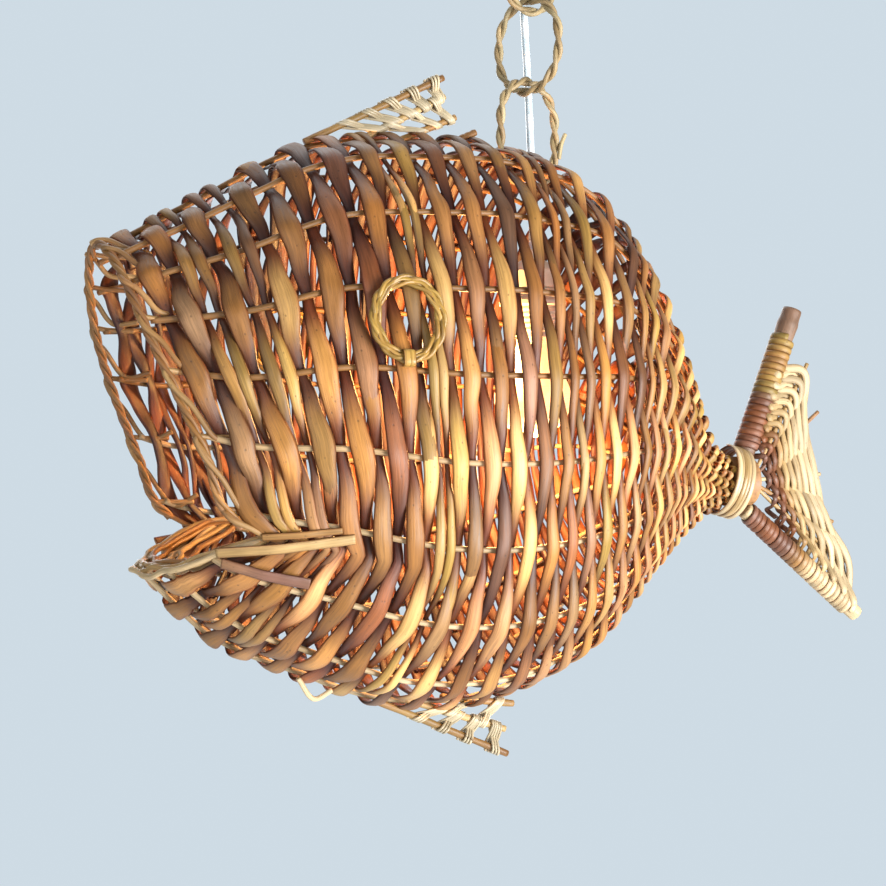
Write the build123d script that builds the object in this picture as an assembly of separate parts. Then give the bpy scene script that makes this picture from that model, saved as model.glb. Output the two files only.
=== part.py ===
from build123d import *
import math
import os

# Woven willow fish pendant lamp.  Millimetres, +Z up, origin at the ceiling under the rose.
# +X runs from the fish's nose to its tail, and the right flank faces -Y.
# Body sizes are given from the hanging axis (X) and from a datum level inside the body (Z).

# ---- ceiling rose and hook
PLATE_D = 84.0
PLATE_T = 2.5
SCREW_SPACING = 60.0
SCREW_HOLE_D = 4.6
COVER_D = 104.0
COVER_H = 30.0
COVER_WALL = 1.6
HOOK_D = 5.0
HOOK_HALF_WIDTH = 12.5
HOOK_BEND_R = 4.5
HOOK_DROP = 60.0
HOOK_TIP_RISE = 17.0
NUT_D = 16.0
NUT_T = 5.0
GRIP_D = 13.0
GRIP_FLANGE_D = 18.0
GRIP_BELOW = 9.0
BLOCK_SIZE = (26.0, 16.0, 11.0)

# ---- chain of twisted rings
STRAND_D = 7.6
RING_WIDTH = 61.5
RING_HEIGHT = 70.0
LOWER_RING_HEIGHT = 81.0
LINK_GAP = 0.4
CHAIN_TURN = 20.0
FIT = 0.3

# ---- flex: where it stands beside the chain, across and along the lower ring's plane
FLEX_D = 6.0
FLEX_TOP = (7.5, 16.0)
FLEX_ENTRY = (16.0, 9.5)

# ---- basket body, each as (x, value) along the fish
RIDGE = [(-334, 137), (-262, 178), (-192, 216), (-112, 229), (-32, 227), (38, 204),
         (98, 132), (138, 52), (164, 2), (180, -10)]
KEEL = [(-334, -62), (-262, -136), (-192, -170), (-112, -196), (-32, -194), (38, -165),
        (98, -106), (138, -72), (164, -56), (180, -52)]
HALF_WIDTH = [(-334, 66), (-262, 98), (-192, 120), (-112, 132), (-32, 131), (38, 113),
              (98, 77), (138, 42), (164, 24), (180, 19)]
SECTION_COUNT = 27
HEAD_WALL = 2.4
REAR_WALL = 10.0
WALL_GROWS_FROM = -90.0
WALL_GROWS_TO = 60.0
HEAD_END = -135.0
REAR_START = 60.0
HOLLOW_END = 160.0

# ---- stakes
STAKE_COUNT = 18
STAKE_D = 4.5
STAKE_END = 130.0
STAKE_STEPS = 12

# ---- mouth, in side view, from the top lip to the lower lip
MOUTH_EDGE = [(-331, 140), (-314, 78), (-292, 23), (-277, -11), (-263, -46)]
MOUTH_CORNER = (-240, -66)
LOWER_LIP = (-309, -94)
BORDER_D = 7.0
JAW_ROD_D = 5.0
BORDER_LEVELS = [-52, -25, 15, 60, 104]
FLEX_BEND_R = 60.0

# ---- hanging rod inside the back, and the holes over it
ROD_D = 8.0
ROD_LENGTH = 46.0
ROD_SEAT = 0.9
LEG_HOLE_WIDTH = 17.0
FLEX_HOLE_D = 15.0

# ---- eyes
EYE_AT = (-155.0, 82.0)
EYE_WIDTH = 53.0
EYE_HEIGHT = 61.0
EYE_STRAND_D = 6.0
STRAP_WIDTH = 8.0
STRAP_T = 1.4

# ---- fins: rods as (root x, root z, tip x, tip z)
FIN_ROD_D = 5.5
DORSAL_RODS = [(-172, 223, -72, 274), (-134, 225, -71, 260), (-97, 229, -62, 245)]
DORSAL_STUB = (-57, 229, -45, 235)
DORSAL_BANDS = [-128, -112, -97, -82]
BELLY_RODS = [(-117, -194, -18, -237), (-92, -194, -20, -218), (-62, -192, -13, -199)]
BELLY_BANDS = [-70, -52, -34]
BAND_WIDTH = 7.0
BAND_T = 1.4

# ---- tail
TIE_AT = 184.0
TIE_LENGTH = 19.0
TIE_HALF_HEIGHT = 29.5
TIE_HALF_WIDTH = 25.0
TIE_WALL = 5.0
TIE_TILT = 15.0
CORE_END = 203.0
TAIL_UPPER_ROOT = (199.0, -8.0)
TAIL_UPPER_TIP = (247.0, 110.0)
TAIL_LOWER_ROOT = (199.0, -54.0)
TAIL_LOWER_TIP = (312.0, -144.0)
UPPER_ROD_D = 17.0
LOWER_ROD_D = 14.0
WRAP_T = 2.2
UPPER_WRAP_SHARE = 0.80
LOWER_WRAP_SHARE = 0.93
TAIL_EDGE = [(258, 58), (262, 2), (279, -38), (300, -88), (316, -134)]
WARP_TIPS = [(262, 66), (273, 26), (275, -26), (288, -66), (306, -102)]
WARP_D = 4.4
WEB_T = 4.0

# ---- lamp holder and bulb
HOLDER_TOP = 150.0
CAP_HEIGHT = 30.0
SKIRT_D = 39.5
SKIRT_HEIGHT = 38.0
SOCKET_D = 29.4
CONTACT_T = 0.8
SHADE_RING_D = 52.0
SHADE_RING_T = 6.0
BULB_CAP_D = 26.4
BULB_CAP_HEIGHT = 24.0
BULB_D = 60.0
BULB_LENGTH = 104.0
GLASS_T = 1.0
TURN_GAP = 0.4


# ------------------------------------------------------------------ derived places
HOOK_BAR_Z = -HOOK_DROP
UPPER_TOP = HOOK_BAR_Z + (HOOK_D + STRAND_D) / 2 + LINK_GAP
UPPER_BOTTOM = UPPER_TOP - RING_HEIGHT
MIDDLE_TOP = UPPER_BOTTOM + STRAND_D + LINK_GAP
MIDDLE_BOTTOM = MIDDLE_TOP - RING_HEIGHT
LOWER_TOP = MIDDLE_BOTTOM + STRAND_D + LINK_GAP
LOWER_BOTTOM = LOWER_TOP - LOWER_RING_HEIGHT
ROD_Z = LOWER_BOTTOM + (STRAND_D + ROD_D) / 2 + LINK_GAP


def smooth(stations, x):
    """Value at x on a smooth curve through the stations."""
    xs = [s[0] for s in stations]
    ys = [s[1] for s in stations]
    n = len(xs)
    slopes = [(ys[i + 1] - ys[i]) / (xs[i + 1] - xs[i]) for i in range(n - 1)]
    tangents = [slopes[0]]
    for i in range(1, n - 1):
        before = xs[i] - xs[i - 1]
        after = xs[i + 1] - xs[i]
        tangents.append((slopes[i - 1] * after + slopes[i] * before) / (before + after))
    tangents.append(slopes[-1])
    k = max(0, min(n - 2, sum(1 for v in xs if v <= x) - 1))
    h = xs[k + 1] - xs[k]
    t = (x - xs[k]) / h
    return ((1 + 2 * t) * (1 - t) ** 2 * ys[k] + t * (1 - t) ** 2 * h * tangents[k]
            + t * t * (3 - 2 * t) * ys[k + 1] + t * t * (t - 1) * h * tangents[k + 1])


def wall_at(x):
    share = (x - WALL_GROWS_FROM) / (WALL_GROWS_TO - WALL_GROWS_FROM)
    return HEAD_WALL + (REAR_WALL - HEAD_WALL) * max(0.0, min(1.0, share))


DATUM = ROD_Z + ROD_D / 2 + ROD_SEAT + STAKE_D + 2 * FIT + wall_at(0) - smooth(RIDGE, 0)


def section(x, inset=0.0):
    """Half height, half width and middle level of the body at x, moved in by inset along the normal."""
    step = 1.0
    half_height = (smooth(RIDGE, x) - smooth(KEEL, x)) / 2
    ahead = (smooth(RIDGE, x + step) - smooth(KEEL, x + step)) / 2
    half_width = smooth(HALF_WIDTH, x)
    wider = smooth(HALF_WIDTH, x + step)
    centre = (smooth(RIDGE, x) + smooth(KEEL, x)) / 2
    lean_z = math.hypot(1, (ahead - half_height) / step)
    lean_y = math.hypot(1, (wider - half_width) / step)
    return half_height - inset * lean_z, half_width - inset * lean_y, centre + DATUM


def on_body(x, angle, inset=0.0):
    """Point on the body at x; angle 0 is the ridge and 90 the right flank."""
    half_height, half_width, centre = section(x, inset)
    a = math.radians(angle)
    return Vector(x, -half_width * math.sin(a), centre + half_height * math.cos(a))


def body_form(start, end, inset_at):
    """Closed solid through elliptical sections from start to end."""
    faces = []
    for i in range(SECTION_COUNT):
        x = start + (end - start) * i / (SECTION_COUNT - 1)
        half_height, half_width, centre = section(x, inset_at(x))
        plane = Plane(origin=(x, 0, centre), x_dir=(0, 1, 0), z_dir=(1, 0, 0))
        faces.append(plane * Ellipse(half_width, half_height))
    return loft(faces)


def across(u, v):
    """Row X and Y of a place u along the lower ring's plane and v across it."""
    a = math.radians(CHAIN_TURN)
    return u * math.cos(a) - v * math.sin(a), u * math.sin(a) + v * math.cos(a)


def block(x0, x1, y0, y1, z0, z1):
    centre = ((x0 + x1) / 2, (y0 + y1) / 2, (z0 + z1) / 2)
    return Pos(*centre) * Box(x1 - x0, y1 - y0, z1 - z0)


def rod(a, b, diameter):
    a = Vector(*a)
    b = Vector(*b)
    return Plane(origin=a, z_dir=b - a) * Cylinder(
        diameter / 2, (b - a).length, align=(Align.CENTER, Align.CENTER, Align.MIN))


def side_point(place, y=0.0):
    return place[0], y, place[1] + DATUM


# ------------------------------------------------------------------ ceiling
def rose_backplate():
    plate = Pos(0, 0, -PLATE_T / 2) * Cylinder(PLATE_D / 2, PLATE_T)
    for x in (-SCREW_SPACING / 2, SCREW_SPACING / 2):
        plate -= Pos(x, 0, -PLATE_T / 2) * Cylinder(SCREW_HOLE_D / 2, PLATE_T * 2)
    return plate


def rose_cover():
    low = -PLATE_T - FIT - COVER_H
    cup = Pos(0, 0, low) * Cone(COVER_D / 2 - 12, COVER_D / 2, COVER_H,
                                align=(Align.CENTER, Align.CENTER, Align.MIN))
    hollow = Pos(0, 0, low + COVER_WALL) * Cone(
        COVER_D / 2 - 12 - COVER_WALL, COVER_D / 2 - COVER_WALL, COVER_H,
        align=(Align.CENTER, Align.CENTER, Align.MIN))
    cup = cup - hollow
    cup -= Pos(0, 0, low) * Cylinder(HOOK_D / 2 + FIT, 4 * COVER_WALL)
    x, y = across(*FLEX_TOP)
    return cup - Pos(x, y, low) * Cylinder(GRIP_D / 2 + FIT, 4 * COVER_WALL)


COVER_LOW = -PLATE_T - FIT - COVER_H


def rose_nut():
    nut = Pos(0, 0, COVER_LOW - FIT - NUT_T / 2) * Cylinder(NUT_D / 2, NUT_T)
    x, y = across(*FLEX_TOP)
    nut -= Pos(x, y, COVER_LOW) * Cylinder(GRIP_FLANGE_D / 2 + FIT, 40)
    return nut - Pos(0, 0, COVER_LOW) * Cylinder(HOOK_D / 2 + 0.1, 4 * NUT_T)


def ceiling_hook():
    """Stem down from the plate, then a square-bottomed hook across the rings."""
    places = [(0, -PLATE_T - 0.05), (0, -PLATE_T - COVER_H - 14), (-HOOK_HALF_WIDTH, HOOK_BAR_Z + 11),
              (-HOOK_HALF_WIDTH, HOOK_BAR_Z), (HOOK_HALF_WIDTH, HOOK_BAR_Z),
              (HOOK_HALF_WIDTH, HOOK_BAR_Z + HOOK_TIP_RISE)]
    points = []
    for v, z in places:
        x, y = across(0, v)
        points.append((x, y, z))
    path = FilletPolyline(*points, radius=HOOK_BEND_R)
    profile = Plane(origin=path @ 0, z_dir=path % 0) * Circle(HOOK_D / 2)
    return sweep(profile, path)


def cord_grip():
    x, y = across(*FLEX_TOP)
    top = COVER_LOW + COVER_WALL + 6
    grip = Pos(x, y, COVER_LOW - FIT - GRIP_BELOW) * Cylinder(
        GRIP_D / 2, top - COVER_LOW + FIT + GRIP_BELOW, align=(Align.CENTER, Align.CENTER, Align.MIN))
    grip += Pos(x, y, COVER_LOW - FIT - 1.5) * Cylinder(GRIP_FLANGE_D / 2, 3)
    grip -= Pos(0, 0, COVER_LOW) * Cylinder(NUT_D / 2 + FIT, 60)
    return grip - Pos(x, y, COVER_LOW) * Cylinder(FLEX_D / 2 + 0.1, 80)


def terminal_block():
    length, depth, height = BLOCK_SIZE
    x, y = across(*FLEX_TOP)
    return Pos(x, y, -PLATE_T - height / 2 - 0.1) * Box(length, depth - 6, height)


# ------------------------------------------------------------------ chain
def ring(top, height, turn):
    """Upright ring with round ends; turn is its plane's angle about Z."""
    end_r = RING_WIDTH / 2
    straight = height - RING_WIDTH
    profile = Pos(end_r, 0, 0) * Circle(STRAND_D / 2)
    bow = revolve(profile, Axis.Y, -180)
    whole = Pos(0, 0, straight / 2) * bow + Pos(0, 0, -straight / 2) * mirror(bow, about=Plane.XY)
    for x in (-end_r, end_r):
        whole += Pos(x, 0, 0) * Cylinder(STRAND_D / 2, straight)
    return Pos(0, 0, top - height / 2) * Rot(0, 0, turn) * whole


def flex_points():
    """Route of the flex: straight down beside the chain, in through the back, down to the holder."""
    x0, y0 = across(*FLEX_TOP)
    x1, y1 = across(*FLEX_ENTRY)
    entry_z = smooth(RIDGE, x1) + DATUM
    return [(x0, y0, -PLATE_T - BLOCK_SIZE[2] - 1), (x0, y0, HOOK_BAR_Z), (x1, y1, entry_z),
            (x1, y1, HOLDER_TOP + DATUM - 6)]


def flex_between(top, bottom):
    """The stretch of flex between two levels."""
    points = flex_points()
    path = FilletPolyline(*points, radius=FLEX_BEND_R)
    tube = sweep(Plane(origin=path @ 0, z_dir=path % 0) * Circle(FLEX_D / 2), path)
    return tube & block(-60, 60, -60, 60, bottom, top)


# ------------------------------------------------------------------ basket
def basket_shell():
    start = RIDGE[0][0]
    outer = body_form(start, RIDGE[-1][0], lambda x: 0.0)
    inner = body_form(start, HOLLOW_END, wall_at)
    shell = outer - inner
    return shell - mouth_cut() - back_holes()


def mouth_cut():
    """Everything ahead of the open mouth, right across the fish."""
    edge = [side_point(p) for p in MOUTH_EDGE + [MOUTH_CORNER]]
    lip = side_point(LOWER_LIP)
    top = edge[0]
    outline = [Spline(*edge), Line(edge[-1], lip), Line(lip, (-400, 0, lip[2] - 30)),
               Line((-400, 0, lip[2] - 30), (-400, 0, top[2] + 60)),
               Line((-400, 0, top[2] + 60), (top[0], 0, top[2] + 60)),
               Line((top[0], 0, top[2] + 60), top)]
    return extrude(make_face(outline), amount=200, both=True)


def back_holes():
    """Two holes for the lower ring's legs and one for the flex."""
    z = smooth(RIDGE, 0) + DATUM
    half = LEG_HOLE_WIDTH / 2
    front = block(-41, -21, -half, half, z - 30, z + 30)
    rear = block(9, 37, -half, half, z - 40, z + 20)
    holes = Rot(0, 0, CHAIN_TURN) * (front + rear)
    x, y = across(*FLEX_ENTRY)
    return holes + Pos(x, y, z) * Cylinder(FLEX_HOLE_D / 2, 60)


def zone(shell, start, end):
    return shell & block(start, end, -200, 200, DATUM - 300, DATUM + 300)


def stake_angles(x):
    """Angles that space the stakes evenly round the section at x."""
    half_height, half_width, _ = section(x, 6.0)
    steps = 720
    lengths = [0.0]
    for i in range(steps):
        a = 2 * math.pi * i / steps
        b = 2 * math.pi * (i + 1) / steps
        dy = half_width * (math.sin(b) - math.sin(a))
        dz = half_height * (math.cos(b) - math.cos(a))
        lengths.append(lengths[-1] + math.hypot(dy, dz))
    angles = []
    k = 0
    for n in range(STAKE_COUNT):
        while lengths[k] < n / STAKE_COUNT * lengths[-1]:
            k += 1
        angles.append(360.0 * k / steps)
    return angles


def mouth_x(z):
    """Where the basket starts at a level above the datum."""
    if z > MOUTH_CORNER[1]:
        edge = [(p[1], p[0]) for p in reversed(MOUTH_EDGE + [MOUTH_CORNER])]
        return smooth(edge, min(z, edge[-1][0]))
    share = min(1.0, (MOUTH_CORNER[1] - z) / (MOUTH_CORNER[1] - LOWER_LIP[1]))
    return MOUTH_CORNER[0] + share * (LOWER_LIP[0] - MOUTH_CORNER[0])


def stake(n):
    """One stake from the mouth to the tail, just inside the weave."""
    x = -230.0
    for _ in range(6):
        inset = wall_at(x) + FIT + STAKE_D / 2
        level = on_body(x, stake_angles(x)[n], inset).Z - DATUM
        x = mouth_x(level) + BORDER_D + 3
    points = []
    for i in range(STAKE_STEPS + 1):
        at = x + (STAKE_END - x) * i / STAKE_STEPS
        inset = wall_at(at) + 2 * FIT + STAKE_D / 2
        points.append(on_body(at, stake_angles(at)[n], inset))
    path = Spline(*points)
    return sweep(Plane(origin=path @ 0, z_dir=path % 0) * Circle(STAKE_D / 2), path)


def stakes(numbers, room):
    """A group of stakes, kept inside the room that the weave leaves."""
    return Compound(children=[stake(n % STAKE_COUNT) & room for n in numbers])


def hanging_rod():
    """Short cross rod under the back, lying on the lower ring."""
    x, y = across(0, ROD_LENGTH / 2)
    return rod((-x, -y, ROD_Z), (x, y, ROD_Z), ROD_D)


def mouth_border():
    """Rolled edge over the upper jaw, from one corner of the mouth to the other."""
    points = []
    for level in BORDER_LEVELS:
        x = mouth_x(level) - BORDER_D / 2 - FIT - 1.0
        half_height, half_width, centre = section(max(x, RIDGE[0][0]), BORDER_D / 2)
        reach = max(-1.0, min(1.0, (level + DATUM - centre) / half_height))
        points.append((x, half_width * math.sqrt(1 - reach * reach), level + DATUM))
    ridge = (mouth_x(MOUTH_EDGE[0][1]) - BORDER_D / 2 - FIT - 1.0, 0,
             section(RIDGE[0][0], BORDER_D / 2)[0] + section(RIDGE[0][0])[2])
    right = [(x, -y, z) for x, y, z in points]
    path = Spline(*right, ridge, *reversed(points))
    return sweep(Plane(origin=path @ 0, z_dir=path % 0) * Circle(BORDER_D / 2), path)


def jaw_rod(offset, lift):
    """One loose rod end bent round inside the lower jaw."""
    points = []
    for angle in (128, 150, 172, 194, 216):
        x = -262 + offset + 18 * abs(angle - 172) / 44
        points.append(on_body(x, angle, wall_at(x) + FIT + STAKE_D + FIT + JAW_ROD_D / 2 + 0.5 + lift))
    path = Spline(*points)
    return sweep(Plane(origin=path @ 0, z_dir=path % 0) * Circle(JAW_ROD_D / 2), path)


# ------------------------------------------------------------------ eyes
def eye_plane(side):
    """Plane against the flank at the eye, facing out; side is -1 on the right flank."""
    x, level = EYE_AT
    points = []
    for dx, dz in ((0, 0), (1, 0), (0, 1)):
        half_height, half_width, centre = section(x + dx)
        reach = (level + dz + DATUM - centre) / half_height
        points.append(Vector(x + dx, side * half_width * math.sqrt(1 - reach * reach), level + dz + DATUM))
    along = points[1] - points[0]
    upward = points[2] - points[0]
    normal = (along.cross(upward)).normalized()
    if normal.Y * side < 0:
        normal = -normal
    return Plane(origin=points[0], x_dir=along.normalized(), z_dir=normal)


EYE_LIFT = EYE_STRAND_D / 2 + 0.4


def eye_ring(side):
    """Round coil of straw skein laid flat on the flank."""
    path = Ellipse((EYE_WIDTH - EYE_STRAND_D) / 2, (EYE_HEIGHT - EYE_STRAND_D) / 2).wire()
    start = path @ 0
    profile = Plane(origin=start, z_dir=path % 0) * Circle(EYE_STRAND_D / 2)
    return eye_plane(side) * Pos(0, 0, EYE_LIFT) * sweep(profile, path)


def eye_strap(side):
    """Flat straw strap over the bottom of the eye ring."""
    gap = EYE_STRAND_D / 2 + FIT + 0.3
    low = -(EYE_HEIGHT - EYE_STRAND_D) / 2
    up = 1 if (eye_plane(side).y_dir.Z > 0) else -1
    outer = Box(STRAP_WIDTH, 2 * gap + 2 * STRAP_T, 2 * gap + STRAP_T)
    inner = Pos(0, 0, -STRAP_T) * Box(STRAP_WIDTH + 2, 2 * gap, 2 * gap + STRAP_T)
    place = Pos(0, up * low, EYE_LIFT + STRAP_T / 2 + 0.9)
    return eye_plane(side) * place * (outer - inner)


# ------------------------------------------------------------------ fins
def fin_rods(rods, body):
    """Rods standing on the weave; their roots are cut to the body."""
    pieces = []
    for x0, z0, x1, z1 in rods:
        direction = Vector(x1 - x0, 0, z1 - z0).normalized()
        root = Vector(x0, 0, z0 + DATUM) - direction * 3
        pieces.append(rod(tuple(root), (x1, 0, z1 + DATUM), FIN_ROD_D) - body)
    return Compound(children=pieces)


def fin_bands(stations, rods, outward):
    """Bands of skein over the rods, on one side and then the other."""
    pieces = []
    for i, x in enumerate(stations):
        levels = []
        for x0, z0, x1, z1 in rods:
            if x0 <= x <= x1:
                levels.append(z0 + (z1 - z0) * (x - x0) / (x1 - x0))
        if len(levels) < 2:
            continue
        low = min(levels) - FIN_ROD_D * 0.8
        high = max(levels) + FIN_ROD_D * 0.8
        if outward > 0:
            low = max(low, smooth(RIDGE, x) + 1.0)
        else:
            high = min(high, smooth(KEEL, x) - 1.0)
        y = (FIN_ROD_D / 2 + FIT + BAND_T / 2) * (1 if i % 2 else -1)
        pieces.append(block(x - BAND_WIDTH / 2, x + BAND_WIDTH / 2, y - BAND_T / 2, y + BAND_T / 2,
                            low + DATUM, high + DATUM))
    return Compound(children=pieces)


# ------------------------------------------------------------------ tail
def tail_tie(body):
    """Binding round the gathered stakes, tilted as it lies."""
    outer = extrude(Ellipse(TIE_HALF_WIDTH, TIE_HALF_HEIGHT), TIE_LENGTH / 2, both=True)
    inner = extrude(Ellipse(TIE_HALF_WIDTH - TIE_WALL, TIE_HALF_HEIGHT - TIE_WALL), TIE_LENGTH, both=True)
    place = Plane(origin=(TIE_AT, 0, DATUM - 31), x_dir=(0, 1, 0), z_dir=(1, 0, 0))
    band = place * Rot(TIE_TILT, 0, 0) * (outer - inner)
    return band - tail_core_form(0.15) - body


def tail_core_form(grow):
    start = RIDGE[-1][0] + 0.1 - grow
    place = Plane(origin=(start, 0, DATUM - 31), x_dir=(0, 1, 0), z_dir=(1, 0, 0))
    return place * extrude(Ellipse(TIE_HALF_WIDTH - TIE_WALL - 1 + grow, 20 + grow), CORE_END - start + grow)


def tail_core():
    """Stake ends gathered through the tie."""
    return tail_core_form(0.0)


def tail_axis(root, tip):
    """Root and tip of a tail rod, the root moved out to clear the tie."""
    direction = (Vector(tip[0], 0, tip[1]) - Vector(root[0], 0, root[1])).normalized()
    start = Vector(root[0], 0, root[1] + DATUM)
    return start, direction, (Vector(tip[0], 0, tip[1] + DATUM) - start).length


def clear_tail_root(shape):
    """Cut a tail piece so that it stands just off the tie and the core."""
    tie_form = Plane(origin=(TIE_AT, 0, DATUM - 31), x_dir=(0, 1, 0), z_dir=(1, 0, 0)) * Rot(
        TIE_TILT, 0, 0) * extrude(Ellipse(TIE_HALF_WIDTH + 8, TIE_HALF_HEIGHT + 8), TIE_LENGTH / 2 + 0.15, both=True)
    return shape - tie_form - tail_core_form(0.15)


def tail_rod(root, tip, diameter):
    start, direction, length = tail_axis(root, tip)
    whole = Plane(origin=start, z_dir=direction) * Cylinder(
        diameter / 2, length, align=(Align.CENTER, Align.CENTER, Align.MIN))
    return clear_tail_root(whole)


def tail_wrap(root, tip, diameter, share):
    """Skein wound round a tail rod."""
    start, direction, length = tail_axis(root, tip)
    plane = Plane(origin=start, z_dir=direction)
    align = (Align.CENTER, Align.CENTER, Align.MIN)
    tube = plane * Cylinder(diameter / 2 + WRAP_T, length * share, align=align)
    tube -= plane * Cylinder(diameter / 2 + 0.1, length * share, align=align)
    return clear_tail_root(tube)


def warp_root():
    return CORE_END + 1.0, 0.0, DATUM - 31


def tail_warps():
    """Thin rods fanning out between the two thick ones."""
    pieces = [clear_tail_root(rod(warp_root(), side_point(tip), WARP_D)) for tip in WARP_TIPS]
    hub = pieces[0]
    for piece in pieces[1:]:
        hub = hub + piece
    return hub


def tail_web():
    """Woven fan, in panels between the warps."""
    edge = [side_point(p) for p in TAIL_EDGE]
    root = (warp_root()[0] + 6, 0, warp_root()[2])
    outline = [Spline(*edge), Line(edge[-1], root), Line(root, edge[0])]
    web = extrude(make_face(outline), amount=WEB_T / 2, both=True)
    for tip in WARP_TIPS:
        web -= rod(warp_root(), side_point(tip), WARP_D + 0.4)
    web -= Pos(*warp_root()) * Cylinder(24, 2 * WEB_T, rotation=(90, 0, 0))
    for ends, diameter in (((TAIL_UPPER_ROOT, TAIL_UPPER_TIP), UPPER_ROD_D),
                           ((TAIL_LOWER_ROOT, TAIL_LOWER_TIP), LOWER_ROD_D)):
        start, direction, length = tail_axis(*ends)
        web -= Plane(origin=start, z_dir=direction) * Cylinder(
            diameter / 2 + WRAP_T + 0.2, 2 * length)
    return clear_tail_root(web)


# ------------------------------------------------------------------ lamp
def lamp_place(level):
    x, y = across(*FLEX_ENTRY)
    return Pos(x, y, level + DATUM)


def turned(points):
    """Solid of revolution about Z from an outline of (radius, level) points."""
    outline = Polyline(*[(r, 0, z) for r, z in points], close=True)
    return revolve(make_face(outline), Axis.Z)


def holder_cap():
    low = HOLDER_TOP - CAP_HEIGHT
    r = SKIRT_D / 2
    inner = FLEX_D / 2 + 0.1
    cap = turned([(inner, HOLDER_TOP), (7, HOLDER_TOP), (8, HOLDER_TOP - 7), (14, HOLDER_TOP - 11),
                  (r + 1, HOLDER_TOP - 17), (r + 1.5, low), (r - 2, low), (r - 2, HOLDER_TOP - 16),
                  (inner, HOLDER_TOP - 10)])
    return lamp_place(0) * cap


def holder_skirt():
    high = HOLDER_TOP - CAP_HEIGHT - FIT
    low = high - SKIRT_HEIGHT
    r = SKIRT_D / 2
    outline = [(SOCKET_D / 2 + 0.1, high), (r - 2, high)]
    pitch = 4.0
    z = high - 3
    while z - pitch > low + 1:
        outline += [(r - 1.2, z), (r, z - 1), (r, z - 2), (r - 1.2, z - 3)]
        z -= pitch
    outline += [(r - 1.2, low), (SOCKET_D / 2 + 0.1, low)]
    return lamp_place(0) * turned(outline)


def holder_contact():
    """Brass liner that the bulb's cap turns in, with its centre contact."""
    high = HOLDER_TOP - CAP_HEIGHT - FIT
    low = high - SKIRT_HEIGHT + 4
    outer = SOCKET_D / 2
    inner = outer - CONTACT_T
    liner = turned([(0, high), (outer, high), (outer, low), (inner, low), (inner, high - 2),
                    (4, high - 2), (4, high - 6), (0, high - 6)])
    return lamp_place(0) * liner


def holder_ring():
    high = HOLDER_TOP - CAP_HEIGHT - FIT - 8
    r = SKIRT_D / 2 + 0.15
    return lamp_place(0) * turned([(r, high), (SHADE_RING_D / 2 - 3, high), (SHADE_RING_D / 2, high - 2),
                                   (SHADE_RING_D / 2, high - SHADE_RING_T + 1),
                                   (r, high - SHADE_RING_T)])


BULB_TOP = HOLDER_TOP - CAP_HEIGHT - FIT - 6 - TURN_GAP
GLASS_TOP = BULB_TOP - 5 - BULB_CAP_HEIGHT


def bulb_cap():
    r = BULB_CAP_D / 2
    top = BULB_TOP - 5
    outline = [(0, top), (9, top)]
    z = top - 3
    outline.append((r - 1, top - 3))
    while z - 3.6 > GLASS_TOP:
        outline += [(r, z - 1), (r, z - 2), (r - 1, z - 3.4)]
        z -= 3.6
    outline += [(r - 1, GLASS_TOP), (0, GLASS_TOP)]
    return lamp_place(0) * turned(outline)


def bulb_contact():
    return lamp_place(0) * turned([(0, BULB_TOP), (4, BULB_TOP), (8, BULB_TOP - 4.9), (0, BULB_TOP - 4.9)])


def bulb_outline(inset):
    """Half outline of the glass: neck, then the round bowl."""
    bowl_r = BULB_D / 2
    low = BULB_TOP - BULB_LENGTH - 5
    centre = low + bowl_r
    points = [(0, low + inset)]
    for i in range(1, 12):
        a = math.radians(-90 + i * 12)
        points.append(((bowl_r - inset) * math.cos(a), centre + (bowl_r - inset) * math.sin(a)))
    neck = BULB_CAP_D / 2 - 0.6 - inset
    points.append((neck, GLASS_TOP - 8))
    points.append((neck, GLASS_TOP - FIT - inset))
    points.append((0, GLASS_TOP - FIT - inset))
    return points


def bulb_glass():
    return lamp_place(0) * (turned(bulb_outline(0)) - turned(bulb_outline(GLASS_T)))


def bulb_filament():
    """Glass stem with the light source on it."""
    top = GLASS_TOP - FIT - GLASS_T - 0.1
    stem = turned([(0, top), (5, top), (3, top - 20), (3, top - 32), (6, top - 34), (6, top - 48), (0, top - 50)])
    return lamp_place(0) * stem


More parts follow.
